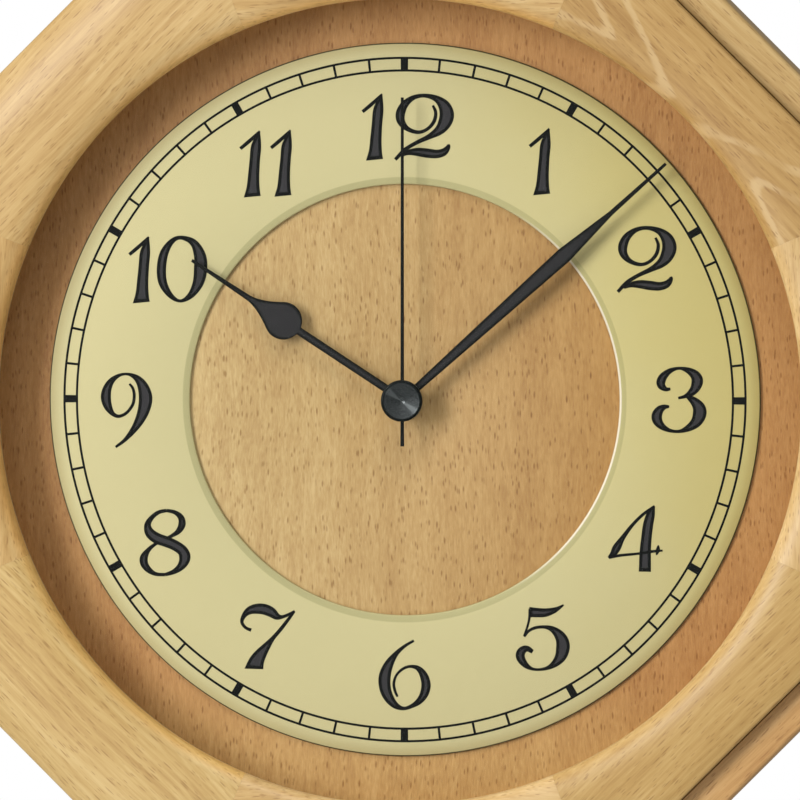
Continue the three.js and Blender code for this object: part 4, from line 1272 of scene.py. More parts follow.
@dataclass
class ChapterRing:
    """The champagne ring with its bevels, minute track and figures."""

    inner: float = 75.5
    outer: float = 125.0
    rim_width: float = 4.6
    rim_drop: float = 0.4
    bevel_width: float = 2.8
    bevel_drop: float = 0.15
    edge_round: float = 0.5
    steps: int = 256
    print_thickness: float = 0.03
    track_outer: float = 120.1
    track_inner: float = 114.9
    track_line: float = 0.8
    minute_width: float = 0.85
    block_width: float = 2.6
    layer_step: float = 0.012

    def __post_init__(self) -> None:
        """Reads the ring's heights from its CAD node."""
        self.low, self.face = heights("chapter_ring")

    def build(self) -> None:
        """Makes the ring and prints it."""
        self.build_ring()
        ink = Ink("black_print").material()
        finish_piece(self.track(), "case", "hand_black", ink)
        for name, digits in FIGURES.items():
            finish_piece(self.figure(name, digits), "case", "hand_black", ink)

    def build_ring(self) -> None:
        """Makes the ring with its outer rim bevel and its inner bevel."""
        radii = (self.edge_round, self.edge_round)
        rim = (self.outer - self.edge_round, self.face - self.rim_drop - self.edge_round)
        bevel = (self.inner + self.edge_round, self.face - self.bevel_drop - self.edge_round)
        profile = [(self.inner, self.low), (self.outer, self.low), *arc(rim, radii, 0, 90, 5)]
        profile += [(self.outer - self.rim_width, self.face), (self.inner + self.bevel_width, self.face)]
        profile += arc(bevel, radii, 90, 180, 5)
        piece = MeshDraft().turn(profile, self.steps).build("dial_chapter_ring", sharp=25.0)
        finish_piece(piece, "case", "ring_metal", Champagne().material(), "chapter_ring")

    def track(self) -> Piece:
        """Makes the minute track: two lines with a bar for each minute and a block for each fifth."""
        cuts: list[tuple[float, bool]] = []
        middle = (self.track_outer + self.track_inner) / 2
        for minute in range(60):
            angle = math.tau * minute / 60
            width = self.minute_width if minute % 5 else self.block_width
            half = width / 2 / middle
            cuts += [(angle - half, True), (angle + half, False)]
            cuts += [(angle + half + (math.tau / 60 - half * 2) * k / 4, False) for k in (1, 2, 3)]
        radii = [self.track_inner, self.track_inner + self.track_line]
        radii += [self.track_outer - self.track_line, self.track_outer]
        work = bmesh.new()
        rings = []
        for angle, _ in cuts:
            spoke = [(r * math.sin(angle), -self.face, r * math.cos(angle)) for r in radii]
            rings.append([work.verts.new(Vector(v) * MM) for v in spoke])
        for i, (_, inked) in enumerate(cuts):
            here, after = rings[i], rings[(i + 1) % len(cuts)]
            for k in range(3):
                if inked or k != 1:
                    work.faces.new((here[k], after[k], after[k + 1], here[k + 1]))
        loose = [vertex for vertex in work.verts if not vertex.link_faces]
        bmesh.ops.delete(work, geom=loose, context="VERTS")
        raised = bmesh.ops.extrude_face_region(work, geom=list(work.faces), use_keep_orig=True)
        moved = [item for item in raised["geom"] if isinstance(item, bmesh.types.BMVert)]
        bmesh.ops.translate(work, verts=moved, vec=(0, -self.print_thickness * MM, 0))
        bmesh.ops.recalc_face_normals(work, faces=work.faces)
        mesh = bpy.data.meshes.new("minute_track")
        work.to_mesh(mesh)
        work.free()
        piece = bpy.data.objects.new("minute_track", mesh)
        bpy.context.scene.collection.objects.link(piece)
        piece.matrix_world = Matrix.Translation(point(0, 0, 0))
        return piece

    def figure(self, name: str, digits: Sequence[tuple[str, Point2]]) -> Piece:
        """Makes one figure of the dial from the strokes of its digits, each stroke a little higher."""
        draft = MeshDraft()
        strokes = [(line, place) for digit, place in digits for line in DIGITS[digit]]
        for layer, (line, place) in enumerate(strokes):
            line.add_to(draft, place, self.face, self.print_thickness + self.layer_step * layer)
        return draft.build(name)


@dataclass(frozen=True)
class Stroke:
    """One brush-like stroke: places and widths along its middle line, in millimetres."""

    points: tuple[Point3, ...]
    closed: bool = False
    end_slant: float = 0.0
    border: float = 0.95
    fade: float = 0.3
    slant_length: float = 4.0
    spacing: float = 0.5

    def add_to(self, draft: MeshDraft, place: Point2, face: float, thickness: float) -> None:
        """Adds the stroke to a draft as a thin closed layer.

        Args:
            draft: The figure.
            place: The digit's centre.
            face: The height of the ring's face.
            thickness: The layer's thickness.
        """
        samples = spline(self.points, self.spacing, self.closed)
        count = len(samples)
        lengths = [0.0]
        for a, b in zip(samples, samples[1:]):
            lengths.append(lengths[-1] + math.dist(a[:2], b[:2]))
        rings = []
        core: list[float] = []
        for i, (x, z, width) in enumerate(samples):
            before = samples[i - 1] if i or self.closed else samples[i]
            after = samples[(i + 1) % count] if i + 1 < count or self.closed else samples[i]
            dx, dz = after[0] - before[0], after[1] - before[1]
            run = math.hypot(dx, dz)
            across = (-dz / run, dx / run)
            half = width / 2
            inside = max(half - self.border, half * 0.1)
            deep = max(half - self.border - self.fade, half * 0.05)
            skew = self.slant(lengths, i) * half
            ring = []
            for offset in (-half, -inside, -deep, deep, inside, half):
                lean = skew * offset / half
                px = x + across[0] * offset + dx / run * lean
                pz = z + across[1] * offset + dz / run * lean
                ring.append((place[0] + px, -(face + thickness), place[1] + pz))
            back = [(ring[5][0], -face, ring[5][2]), (ring[0][0], -face, ring[0][2])]
            rings.append(ring + back)
            value = unit((half - self.border) / 0.35) * self.end_fade(lengths, i)
            core += [0.0, 0.0, value, value, 0.0, 0.0, 0.0, 0.0]
        draft.sweep(rings, self.closed)
        draft.core += core

    def slant(self, lengths: list[float], index: int) -> float:
        """How far the sections lean along the stroke near its end."""
        left = lengths[-1] - lengths[index]
        return self.end_slant * max(0.0, 1 - left / self.slant_length)

    def end_fade(self, lengths: list[float], index: int) -> float:
        """One inside the stroke, and nought within its border at an open end."""
        if self.closed:
            return 1.0
        nearest = min(lengths[index], lengths[-1] - lengths[index])
        return unit((nearest - self.border) / 0.5)


def stroke(*values: float, closed: bool = False, end_slant: float = 0.0) -> Stroke:
    """Makes a stroke from x, z and width, point by point."""
    points = tuple(zip(values[::3], values[1::3], values[2::3]))
    return Stroke(points, closed, end_slant)


DIGITS: dict[str, tuple[Stroke, ...]] = {
    "0": (
        stroke(
            -0.3, 11.0, 1.4, 4.0, 9.3, 2.6, 6.3, 4.9, 4.2, 6.6, 0.2, 4.7, 5.75, -4.8, 3.9, 3.1, -9.2, 2.3,
            -0.5, -11.2, 1.1, -3.9, -9.4, 1.9, -6.6, -5.1, 3.0, -7.2, 0, 3.3, -6.2, 5.6, 3.0, -3.5, 9.7, 1.9,
            closed=True,
        ),
    ),
    "1": (
        stroke(-3.6, 5.4, 1.2, -0.1, 8.35, 1.3, 3.3, 11.6, 0.8),
        stroke(
            3.0, 11.2, 0.8, 2.4, 8.5, 2.6, 1.9, 5.7, 3.7, 1.5, 1.4, 3.7, 1.1, -4.0, 4.0, 0.9, -8.2, 4.6,
            0.6, -11.4, 5.9,
            end_slant=-0.2,
        ),
    ),
    "2": (
        stroke(
            3.1, 7.7, 0.9, 4.1, 5.1, 1.2, 3.4, 1.9, 1.3, 1.0, -0.7, 1.2, -2.1, -1.7, 1.3, -5.7, -0.6, 1.7,
            -8.0, 1.9, 2.8, -8.3, 4.8, 3.3, -6.8, 8.0, 2.7, -3.7, 10.4, 1.7, 0.1, 11.1, 1.4, 4.2, 10.1, 2.3,
            7.0, 7.6, 4.2, 8.0, 4.4, 5.1, 7.1, 1.3, 4.6, 5.1, -1.2, 3.3, 1.7, -3.3, 1.9, -2.7, -5.4, 1.4,
            -6.8, -7.9, 1.4, -10.1, -11.3, 1.2,
        ),
        stroke(
            -8.0, -9.8, 1.0, -5.5, -8.8, 1.9, -2.4, -8.6, 2.9, 1.0, -9.0, 3.3, 4.5, -9.3, 3.0, 7.1, -8.5, 2.6,
            8.5, -6.8, 1.6, 8.5, -5.9, 0.9,
        ),
    ),
    "3": (
        stroke(
            -3.0, 3.8, 1.0, -4.6, 3.7, 1.6, -6.1, 4.9, 2.8, -6.3, 6.5, 3.2, -5.2, 8.5, 2.7, -2.8, 10.3, 1.7,
            0.3, 11.05, 1.1, 3.4, 10.2, 2.3, 5.7, 8.5, 3.6, 6.4, 6.5, 4.1, 5.6, 4.05, 3.4, 3.9, 2.2, 2.4,
            1.9, 1.15, 1.3, -0.3, 0.6, 0.9,
        ),
        stroke(
            3.1, 1.2, 1.6, 5.5, -0.7, 3.2, 7.0, -2.8, 4.5, 7.2, -5.0, 4.8, 6.0, -7.7, 3.9, 3.4, -9.8, 2.5,
            0.2, -11.0, 1.2, -3.0, -10.8, 1.3, -5.7, -9.5, 2.3, -7.4, -7.6, 3.4, -7.8, -5.6, 3.7,
            -6.8, -3.6, 3.0, -5.1, -2.5, 1.8, -3.4, -2.4, 0.9,
        ),
    ),
    "4": (
        stroke(
            6.25, 11.2, 1.2, 5.3, 8.5, 3.0, 4.4, 4.9, 3.6, 3.8, 0.2, 3.7, 3.4, -4.5, 4.0, 3.3, -9.2, 4.2,
            3.25, -11.6, 4.3,
        ),
        stroke(
            6.7, 11.4, 0.9, 2.65, 8.5, 1.1, -1.1, 4.75, 1.2, -4.4, 0.4, 1.7, -6.6, -3.2, 2.9,
            -7.9, -5.4, 2.2, -9.5, -6.8, 1.0,
        ),
        stroke(-9.4, -6.7, 1.0, -5.2, -5.9, 1.0, 1.1, -5.25, 0.9, 5.8, -4.5, 1.0, 9.5, -4.15, 0.7),
        stroke(8.0, -2.3, 0.5, 7.8, -4.0, 1.5, 7.3, -5.7, 0.5),
    ),
    "5": (
        stroke(
            -4.9, 8.9, 3.6, -1.8, 8.7, 3.3, 0.9, 8.75, 3.0, 3.8, 9.5, 2.1, 5.8, 10.5, 1.2, 7.25, 11.5, 0.6,
        ),
        stroke(-4.5, 10.0, 1.2, -4.8, 6.7, 0.9, -5.35, 4.2, 0.8, -6.6, 0.35, 0.9),
        stroke(
            -6.6, 0.3, 0.9, -5.1, 2.2, 1.0, -2.7, 3.4, 1.1, 0.45, 3.7, 1.2, 3.2, 3.0, 2.1, 5.5, 1.1, 3.5,
            6.8, -1.2, 4.5, 7.0, -3.7, 4.8, 6.25, -6.5, 4.1, 4.5, -8.8, 2.8, 2.0, -10.5, 1.5,
            -0.9, -11.2, 1.0, -3.6, -11.05, 1.1, -5.8, -9.9, 2.0, -7.5, -7.9, 2.9, -8.0, -6.1, 3.2,
            -7.25, -4.6, 2.9, -5.6, -3.9, 2.1, -3.6, -5.0, 1.4,
        ),
    ),
    "6": (
        stroke(
            3.35, 12.0, 0.9, 0.3, 10.2, 1.1, -2.8, 7.5, 1.7, -5.4, 3.75, 3.2, -6.9, -0.5, 4.2,
            -6.8, -4.6, 4.1, -5.5, -8.0, 3.5, -3.2, -10.7, 2.4, -0.3, -11.8, 1.3, 2.7, -10.9, 1.5,
            5.4, -9.0, 2.4, 7.1, -6.3, 3.1, 7.6, -3.2, 3.3, 6.7, 0, 2.8, 4.8, 2.3, 1.8, 2.1, 2.95, 1.1,
            -0.5, 2.1, 1.0, -2.7, 0, 0.9, -3.7, -2.8, 1.0, -3.35, -5.5, 1.0, -2.4, -7.7, 0.8,
        ),
    ),
    "7": (
        stroke(
            -5.9, 2.2, 1.2, -7.9, 3.1, 1.1, -9.2, 5.0, 1.2, -8.5, 7.2, 1.7, -6.7, 9.0, 2.7, -4.2, 9.7, 3.5,
            -1.5, 9.6, 3.8, 1.05, 8.6, 3.6, 3.1, 7.1, 2.5, 4.9, 6.9, 1.3, 7.1, 7.7, 1.1, 9.4, 9.0, 0.8,
        ),
        stroke(
            9.3, 8.9, 0.9, 6.95, 5.8, 1.2, 4.4, 2.5, 1.3, 1.8, -0.5, 1.5, -0.4, -3.3, 2.7,
            -2.5, -6.1, 4.2, -4.1, -8.8, 5.4, -5.0, -11.4, 6.4,
            end_slant=-0.3,
        ),
    ),
    "8": (
        stroke(
            0.1, -11.25, 1.2, -3.3, -11.0, 1.4, -5.8, -9.5, 2.2, -7.3, -7.4, 2.8, -7.4, -5.2, 2.8,
            -6.0, -2.8, 1.7, -3.8, -0.8, 1.2, -0.6, 1.0, 1.0, 2.6, 2.5, 1.3, 4.8, 4.1, 2.0, 6.0, 6.4, 2.6,
            5.65, 8.8, 2.2, 3.6, 10.6, 1.5, 0.6, 11.3, 1.2,
        ),
        stroke(
            0.6, 11.3, 1.2, -2.3, 10.6, 1.4, -4.8, 8.6, 1.7, -6.1, 6.1, 2.4, -5.3, 3.4, 3.5, -2.8, 1.5, 3.9,
            0.6, 0.3, 3.8, 3.8, -1.1, 3.7, 6.3, -3.0, 3.8, 7.0, -5.4, 4.0, 5.8, -8.1, 2.9, 3.3, -10.1, 1.8,
            0.1, -11.25, 1.2,
        ),
    ),
    "9": (
        stroke(
            -3.8, -12.85, 0.9, -0.6, -10.4, 1.3, 2.3, -7.1, 2.2, 4.6, -3.5, 3.3, 6.2, 0.4, 4.3,
            6.8, 4.5, 4.8, 5.9, 8.3, 3.9, 3.9, 11.2, 2.4, 1.0, 12.7, 1.1, -2.1, 12.5, 1.1, -5.0, 10.6, 2.1,
            -6.7, 7.7, 3.1, -7.2, 4.5, 3.6, -6.4, 1.3, 2.9, -4.7, -1.2, 1.6, -2.5, -2.0, 1.2, 0.2, -0.7, 1.1,
            2.3, 2.2, 1.1, 2.8, 5.4, 1.1, 2.3, 7.8, 1.0, 1.1, 9.4, 0.8,
        ),
    ),
}


FIGURES: dict[str, tuple[tuple[str, Point2], ...]] = {
    "figure_twelve": (("1", (-11.1, 95.4)), ("2", (6.9, 95.4))),
    "figure_one": (("1", (47.6, 83.4)),),
    "figure_two": (("2", (85.0, 49.3)),),
    "figure_three": (("3", (96.4, 0.3)),),
    "figure_four": (("4", (81.2, -48.3)),),
    "figure_five": (("5", (48.7, -83.1)),),
    "figure_six": (("6", (0.0, -96.4)),),
    "figure_seven": (("7", (-48.0, -83.2)),),
    "figure_eight": (("8", (-84.3, -50.4)),),
    "figure_nine": (("9", (-97.9, -4.1)),),
    "figure_ten": (("1", (-93.2, 45.2)), ("0", (-78.3, 45.6))),
    "figure_eleven": (("1", (-54.1, 82.4)), ("1", (-43.3, 82.7))),
}


@dataclass(frozen=True)
class TurnedSteel(Finish):
    """Dark turned steel with a painted highlight: the streak across the hub that its grooves would spread
    light into.
    """

    name: str = "turned_dark_steel"
    dark: Colour = (0.04, 0.044, 0.045)
    pale: Colour = (0.074, 0.079, 0.08)
    lit: Colour = (0.17, 0.185, 0.185)
    edge: Colour = (0.006, 0.007, 0.007)
    edge_start: float = 6.0
    across: Point2 = (0.58, 0.81)
    narrow: float = 0.07
    strength: float = 0.8

    def paint(self, shader: Shader) -> None:
        """Builds the steel, with the painted streak of light across its middle and a dark edge."""
        place = shader.own_place()
        scratches = shader.noise(place, (0.4, 0.4, 0.4), 3.0)
        steel = shader.ramp(scratches, (0.3, self.dark), (0.7, self.pale))
        radius = shader.radius(place)
        x, _, z = shader.parts(place)
        away = (x * self.across[0] + z * self.across[1]) / (radius + 0.2)
        # Painted highlight: a pale streak across the middle.
        steel = shader.mix((away * away).between(self.narrow, 0.0) * self.strength, steel, self.lit)
        steel = shader.mix(radius.between(self.edge_start, self.edge_start + 0.5), steel, self.edge)
        shader.set(Base_Color=steel, Metallic=0.85, Roughness=0.24 + scratches * 0.1, Anisotropic=0.7)


@dataclass
class Hands:
    """The three hands and the hub cap, at eight minutes past ten."""

    bevel: float = 0.28
    core_start: float = 0.7
    core_inset: float = 1.35
    minute_angle: float = 48.0
    hour_angle: float = 303.2
    collet_wall: float = 1.5
    hub_radius: float = 7.3
    groove_depth: float = 0.07
    groove_spacing: float = 0.55
    minute_stations: tuple[Point2, ...] = (
        (2.6, 1.3), (38.0, 2.03), (76.0, 2.8), (98.0, 0.85), (111.0, 0.7), (124.0, 0.52)
    )
    second_stations: tuple[Point2, ...] = ((-16.0, 0.68), (-8.0, 0.62), (8.0, 0.62), (106.0, 0.52))

    def build(self) -> None:
        """Makes the hands, from the rearmost to the hub cap."""
        enamel = Ink("black_enamel", core=(0.026, 0.024, 0.0255), roughness=0.4, gloss=0.16).material()
        hands = (
            ("hour_pointer", "hour", self.hour_stations(), 2.9, 0.8, self.hour_angle),
            ("minute_pointer", "minute", self.minute_stations, 1.9, 0.8, self.minute_angle),
            ("sweep_pointer", "second", self.second_stations, 0.8, 0.4, 0.0),
        )
        for name, wheel, stations, bore, thickness, degrees in hands:
            hand = self.hand(name, f"{wheel}_hand", stations, bore, thickness, degrees)
            finish_piece(hand, f"{wheel}_works", "hand_black", enamel, f"{wheel}_hand")
        finish_piece(self.hub(), "second_works", "cap_steel", TurnedSteel().material(), "hub_cap")

    @staticmethod
    def hour_stations() -> list[Point2]:
        """Distance from the centre and half width along the hour hand, with its round bulb."""
        bulb, radius = 50.5, 6.6
        stations = [(3.6, 1.4), (43.9, 1.4)]
        for degrees in range(-75, 34, 6):
            angle = math.radians(degrees)
            stations.append((bulb + radius * math.sin(angle), radius * math.cos(angle)))
        start = Vector((stations[-1][1], stations[-1][0]))
        pull = Vector((1.35, bulb + 10.0))
        end = Vector((1.0, 65.0))
        for i in range(1, 13):
            t = i / 12
            spot = start * (1 - t) ** 2 + pull * 2 * t * (1 - t) + end * t * t
            stations.append((spot.y, spot.x))
        return stations + [(76.0, 0.75), (89.0, 0.52)]

    def hand(
        self, name: str, node: str, stations: Sequence[Point2], bore: float, thickness: float, degrees: float
    ) -> Piece:
        """Makes a flat hand with bevelled edges and its collet.

        Args:
            name: The piece's name.
            node: The CAD node that gives its heights.
            stations: Distances from the centre with half widths.
            bore: The radius of the hole for the arbor.
            thickness: The thickness of its blade.
            degrees: Its clock angle.

        Returns:
            The hand.
        """
        low, front = heights(node)
        rear = front - thickness
        draft = MeshDraft()
        rings = []
        for z, half in stations:
            flat = max(half - self.bevel, half * 0.35)
            deep = max(half - self.core_inset, half * 0.1)
            edge = front - min(self.bevel, thickness / 2)
            ring = [(half, rear), (half, edge), (flat, front), (deep, front), (-deep, front)]
            ring += [(-flat, front), (-half, edge), (-half, rear)]
            rings.append([(x, -h, z) for x, h in ring])
            value = unit((half - self.core_start) / 0.4)
            draft.core += [0, 0, 0, value, value, 0, 0, 0]
        draft.sweep(rings)
        draft.turn(rounded_section(bore, bore + self.collet_wall, low, front + 0.02, 0.12), 48)
        draft.core += [0.0] * (len(draft.vertices) - len(draft.core))
        turn = Matrix.Rotation(math.radians(degrees), 4, "Y")
        return draft.build(name, turn, 20.0)

    def hub(self) -> Piece:
        """Makes the turned hub cap with its fine grooves."""
        low, front = heights("hub_cap")
        rear, bore, stem, round_edge = 37.5, 0.8, 2.3, 0.7
        profile = [(0, rear + 0.3), (bore, rear + 0.3), (bore, low), (stem, low), (stem, rear)]
        profile += [(self.hub_radius - 0.2, rear), (self.hub_radius, rear + 0.2)]
        profile += arc((self.hub_radius - round_edge, front - round_edge), (round_edge, round_edge), 0, 90, 6)
        radius = self.hub_radius - 1.1
        while radius > 1.2:
            profile += [(radius, front), (radius - 0.18, front - self.groove_depth)]
            radius -= self.groove_spacing
        profile += [(1.0, front), (0.55, front - 0.12), (0, front - 0.16)]
        return MeshDraft().turn(profile).build("turned_hub", sharp=40.0)


@dataclass
class Screw:
    """A countersunk wood screw with a cross recess."""

    head_radius: float = 2.4
    head_height: float = 1.1
    shank_radius: float = 1.15
    length: float = 11.0
    recess: float = 1.45
    recess_width: float = 0.55
    recess_depth: float = 0.7
    plain_shank: float = 2.2
    threads: int = 9
    pitch: float = 0.75

    def build(self, name: str, node: str, body: str, face: float, direction: int, finish: Material) -> None:
        """Makes one screw.

        Args:
            name: The piece's name.
            node: The CAD node that it stands for.
            body: The body that it rides on.
            face: The height of its head's face.
            direction: 1 where it points away from the wall, and -1 where it points at it.
            finish: Its material.
        """
        x, z = middle_of(node)
        profile = [(0, 0), (self.head_radius - 0.1, 0), (self.head_radius, 0.12)]
        profile += [(self.shank_radius, self.head_height)]
        for i in range(self.threads):
            start = self.head_height + self.plain_shank + i * self.pitch
            profile += [(self.shank_radius * 0.8, start), (self.shank_radius, start + 0.3)]
        profile += [(self.shank_radius * 0.7, self.length - 0.9), (0, self.length)]
        turned = [(r, face + direction * t) for r, t in profile]
        screw = MeshDraft().turn(turned, 24, (x, z)).build(name, sharp=30.0)
        near, far = sorted((face - direction * 0.5, face + direction * self.recess_depth))
        half, arm = self.recess_width / 2, self.recess
        quarter = [(half, half), (half, arm), (-half, arm)]
        cross = []
        for _ in range(4):
            cross += [(x + a, z + b) for a, b in quarter]
            quarter = [(-b, a) for a, b in quarter]
        bit = MeshDraft().plate(cross, near, far, bevel=0.0)
        combine(screw, bit.build("driver_bit"), "DIFFERENCE", CARVED_EDGE)
        finish_piece(screw, body, "screw_steel", finish, node)


def countersunk_hole(face: float, direction: int, depth: float) -> list[Point2]:
    """The profile of a screw hole that starts at a face, for cutting it from half a millimetre outside."""
    wide, head, bore, countersink, outside = 3.1, 2.6, 1.5, 1.1, 0.5
    rows = ((0, -outside), (wide, -outside), (head, 0), (bore, countersink), (bore, depth), (0, depth))
    return [(radius, face + direction * along) for radius, along in rows]


@dataclass
class Hinge:
    """The brass butt hinge on the left."""

    frame_side: float = -180.0
    axis_x: float = -182.7
    axis_height: float = 40.3
    length: float = 72.0
    knuckle_radius: float = 2.4
    pin_radius: float = 1.0
    knuckles: int = 5
    gap: float = 0.3
    leaf_width: float = 15.0
    leaf: float = 1.2
    leaf_gap: float = 0.5
    corner: float = 1.6
    screw_x: float = -172.7
    screw_z: float = 22.0

    def build(self) -> None:
        """Makes both leaves, the pin and the four screws."""
        finishes = (
            Satin("brushed_brass", (0.62, 0.43, 0.14), 0.28, 1.0, 0.05, (14.0, 0.4, 0.4), 0.006),
            Satin("bright_steel", (0.45, 0.45, 0.46), 0.3, 1.0, 0.06, (0.8, 0.8, 0.8), 0.01),
        )
        brass, steel = (finish.material() for finish in finishes)
        case_front = self.axis_height - self.leaf_gap / 2
        door_rear = self.axis_height + self.leaf_gap / 2
        leaves = (("case", case_front, 0, -1), ("door", door_rear, 1, 1))
        for body, face, first, direction in leaves:
            leaf = self.leaf_piece(f"butt_leaf_{body}", face, first, direction)
            finish_piece(leaf, body, "hinge_brass", brass, f"hinge_{body}_leaf")
            for place in ("lower", "upper"):
                node = f"hinge_{body}_screw_{place}"
                Screw().build(f"{body}_leaf_screw_{place}", node, body, face, direction, steel)
        finish_piece(self.pin(), "case", "hinge_brass", brass, "hinge_pin")

    def leaf_piece(self, name: str, face: float, first: int, direction: int) -> Piece:
        """Makes one leaf with its knuckles and countersunk holes.

        Args:
            name: The piece's name.
            face: The height of the face that the screws' heads lie in.
            first: The number of its first knuckle.
            direction: Where the screws point, and the leaf's other face lies.

        Returns:
            The leaf.
        """
        rear, front = sorted((face, face + direction * self.leaf))
        half = self.length / 2 - self.gap / 2
        right = self.axis_x + self.leaf_width
        left = self.frame_side + self.gap
        r = self.corner
        outline = [(left, -half), *arc((right - r, -half + r), (r, r), -90, 0, 5)]
        outline += [*arc((right - r, half - r), (r, r), 0, 90, 5), (left, half)]
        piece = MeshDraft().plate(outline, rear, front).build(name, sharp=30.0)
        holes = MeshDraft()
        for z in (-self.screw_z, self.screw_z):
            holes.turn(countersunk_hole(face, direction, 3.0), 32, (self.screw_x, z))
        combine(piece, holes.build("holes"), "DIFFERENCE")
        combine(piece, self.knuckle_draft(first, rear, front).build("knuckles", sharp=30.0), "UNION")
        return piece

    def knuckle_draft(self, first: int, rear: float, front: float) -> MeshDraft:
        """The rolled knuckles of one leaf, each with the tongue that leads to it."""
        draft = MeshDraft()
        step = self.length / self.knuckles
        chamfer, overlap = 0.25, 0.1
        bore, outer = self.pin_radius + 0.15, self.knuckle_radius
        edge = self.axis_x + math.sqrt(outer**2 - 1.45**2) - 0.15
        for i in range(first, self.knuckles, 2):
            low = -self.length / 2 + i * step + self.gap / 2
            high = low + step - self.gap
            profile = [(bore, low), (outer - chamfer, low), (outer, low + chamfer)]
            profile += [(outer, high - chamfer), (outer - chamfer, high), (bore, high)]
            draft.turn(profile, 40, (self.axis_x, self.axis_height), Axis.UP)
            draft.box((edge, rear, low), (self.frame_side + self.gap + overlap, front, high))
        return draft

    def pin(self) -> Piece:
        """Makes the pin with its two ball tips."""
        end = self.length / 2 + self.gap
        ball, stem, dome = 1.7, 0.5, 1.0
        tip = [(ball, end), (ball, end + stem), *arc((0, end + stem), (ball, dome), 0, 90, 6)[1:-1]]
        lower = [(r, -t) for r, t in reversed(tip)]
        middle = [(self.pin_radius, -end), (self.pin_radius, end)]
        top = end + stem + dome
        profile = [(0, -top), *lower, *middle, *tip, (0, top)]
        place = (self.axis_x, self.axis_height)
        return MeshDraft().turn(profile, 32, place, Axis.UP).build("butt_pin", sharp=30.0)


@dataclass
class Catch:
    """The magnet in the case and the strike in the door."""

    magnet_radius: float = 4.0
    magnet_round: float = 0.35

    def build(self) -> None:
        """Makes the magnet, and its strike with a spike."""
        rear, front = heights("catch_magnet")
        small = (self.magnet_round, self.magnet_round)
        edge = self.magnet_radius - self.magnet_round
        lower = arc((edge, rear + self.magnet_round), small, -90, 0, 4)
        upper = arc((edge, front - self.magnet_round), small, 0, 90, 4)
        profile = [(0, rear), *lower, *upper, (0, front)]
        plug = MeshDraft().turn(profile, 64, (CATCH_X, 0)).build("catch_plug")
        ferrite = Satin("magnet_grey", (0.07, 0.07, 0.08), 0.45, 0.6, 0.15, (0.7, 0.7, 0.7), 0.02)
        finish_piece(plug, "case", "magnet_ferrite", ferrite.material(), "catch_magnet")
        rear, _ = heights("catch_strike")
        rows = ((0, 0), (4.2, 0), (4.6, 0.3), (4.6, 1.0), (4.4, 1.2), (0.9, 1.2), (0.9, 5.4), (0, 7.2))
        profile = [(radius, rear + along) for radius, along in rows]
        disc = MeshDraft().turn(profile, 48, (CATCH_X, 0)).build("strike_disc")
        steel = Satin("zinc_steel", (0.42, 0.42, 0.43), 0.33, 1.0, 0.08, (1.5, 1.5, 1.5), 0.01)
        finish_piece(disc, "door", "plate_steel", steel.material(), "catch_strike")


@dataclass
class Hanging:
    """The keyhole plate, its screws and the wall bumpers."""

    plate_half: float = 22.0
    low: float = 151.3
    tall: float = 20.0
    corner: float = 3.0
    keyhole_z: float = 157.0
    keyhole_radius: float = 4.2
    slot_radius: float = 2.0
    slot_top: float = 167.0
    screw_x: float = 16.0

    def build(self) -> None:
        """Makes the plate, its two screws and the two bumpers."""
        steel = Satin("zinc_plate", (0.45, 0.45, 0.45), 0.32, 1.0, 0.07, (6.0, 0.5, 0.5), 0.008).material()
        screws = Satin("screw_zinc", (0.45, 0.45, 0.46), 0.3, 1.0, 0.06, (0.8, 0.8, 0.8), 0.01).material()
        rubber = Satin("soft_rubber", (0.03, 0.03, 0.032), 0.75, 0.0, 0.1, (0.5, 0.5, 0.5), 0.03).material()
        rear, front = heights("hanger_plate")
        finish_piece(self.plate(rear, front), "case", "plate_steel", steel, "hanger_plate")
        for side in ("left", "right"):
            Screw().build(f"keyhole_screw_{side}", f"hanger_screw_{side}", "case", rear, 1, screws)
        for side in ("left", "right"):
            finish_piece(self.bumper(side), "case", "bumper_rubber", rubber, f"wall_bumper_{side}")

    @staticmethod
    def bumper(side: str) -> Piece:
        """Makes one rubber bumper with its rounded rim and the dimple of its mould."""
        node = f"wall_bumper_{side}"
        base, face = heights(node)
        profile = [(0, base + 0.25), (3.6, base + 0.15), (4.6, base), (5.6, base)]
        profile += arc((5.6, base + 1.2), (1.4, 1.2), -90, 0, 5)[1:] + [(6.8, face - 0.1), (0, face)]
        return MeshDraft().turn(profile, 64, middle_of(node)).build(f"bumper_pad_{side}")

    def plate(self, rear: float, front: float) -> Piece:
        """Makes the plate with rounded corners, the keyhole and two countersunk holes."""
        half, low, high, r = self.plate_half, self.low, self.low + self.tall, self.corner
        corners = ((half - r, low + r), (half - r, high - r), (r - half, high - r), (r - half, low + r))
        outline: list[Point2] = []
        for corner, start in zip(corners, (-90, 0, 90, 180)):
            outline += arc(corner, (r, r), start, start + 90, 6)
        piece = MeshDraft().plate(outline, rear, front).build("keyhole_plate", sharp=30.0)
        across = math.degrees(math.asin(self.slot_radius / self.keyhole_radius))
        start = 90 - across
        keyhole = arc((0, self.keyhole_z), (self.keyhole_radius,) * 2, start, start - 360 + 2 * across, 40)
        keyhole += arc((0, self.slot_top - self.slot_radius), (self.slot_radius,) * 2, 180, 0, 12)
        holes = MeshDraft().plate(keyhole, rear - 1, front + 1, bevel=0.0)
        for x in (-self.screw_x, self.screw_x):
            holes.turn(countersunk_hole(rear, 1, front + 1 - rear), 32, (x, self.keyhole_z))
        combine(piece, holes.build("holes"), "DIFFERENCE")
        return piece


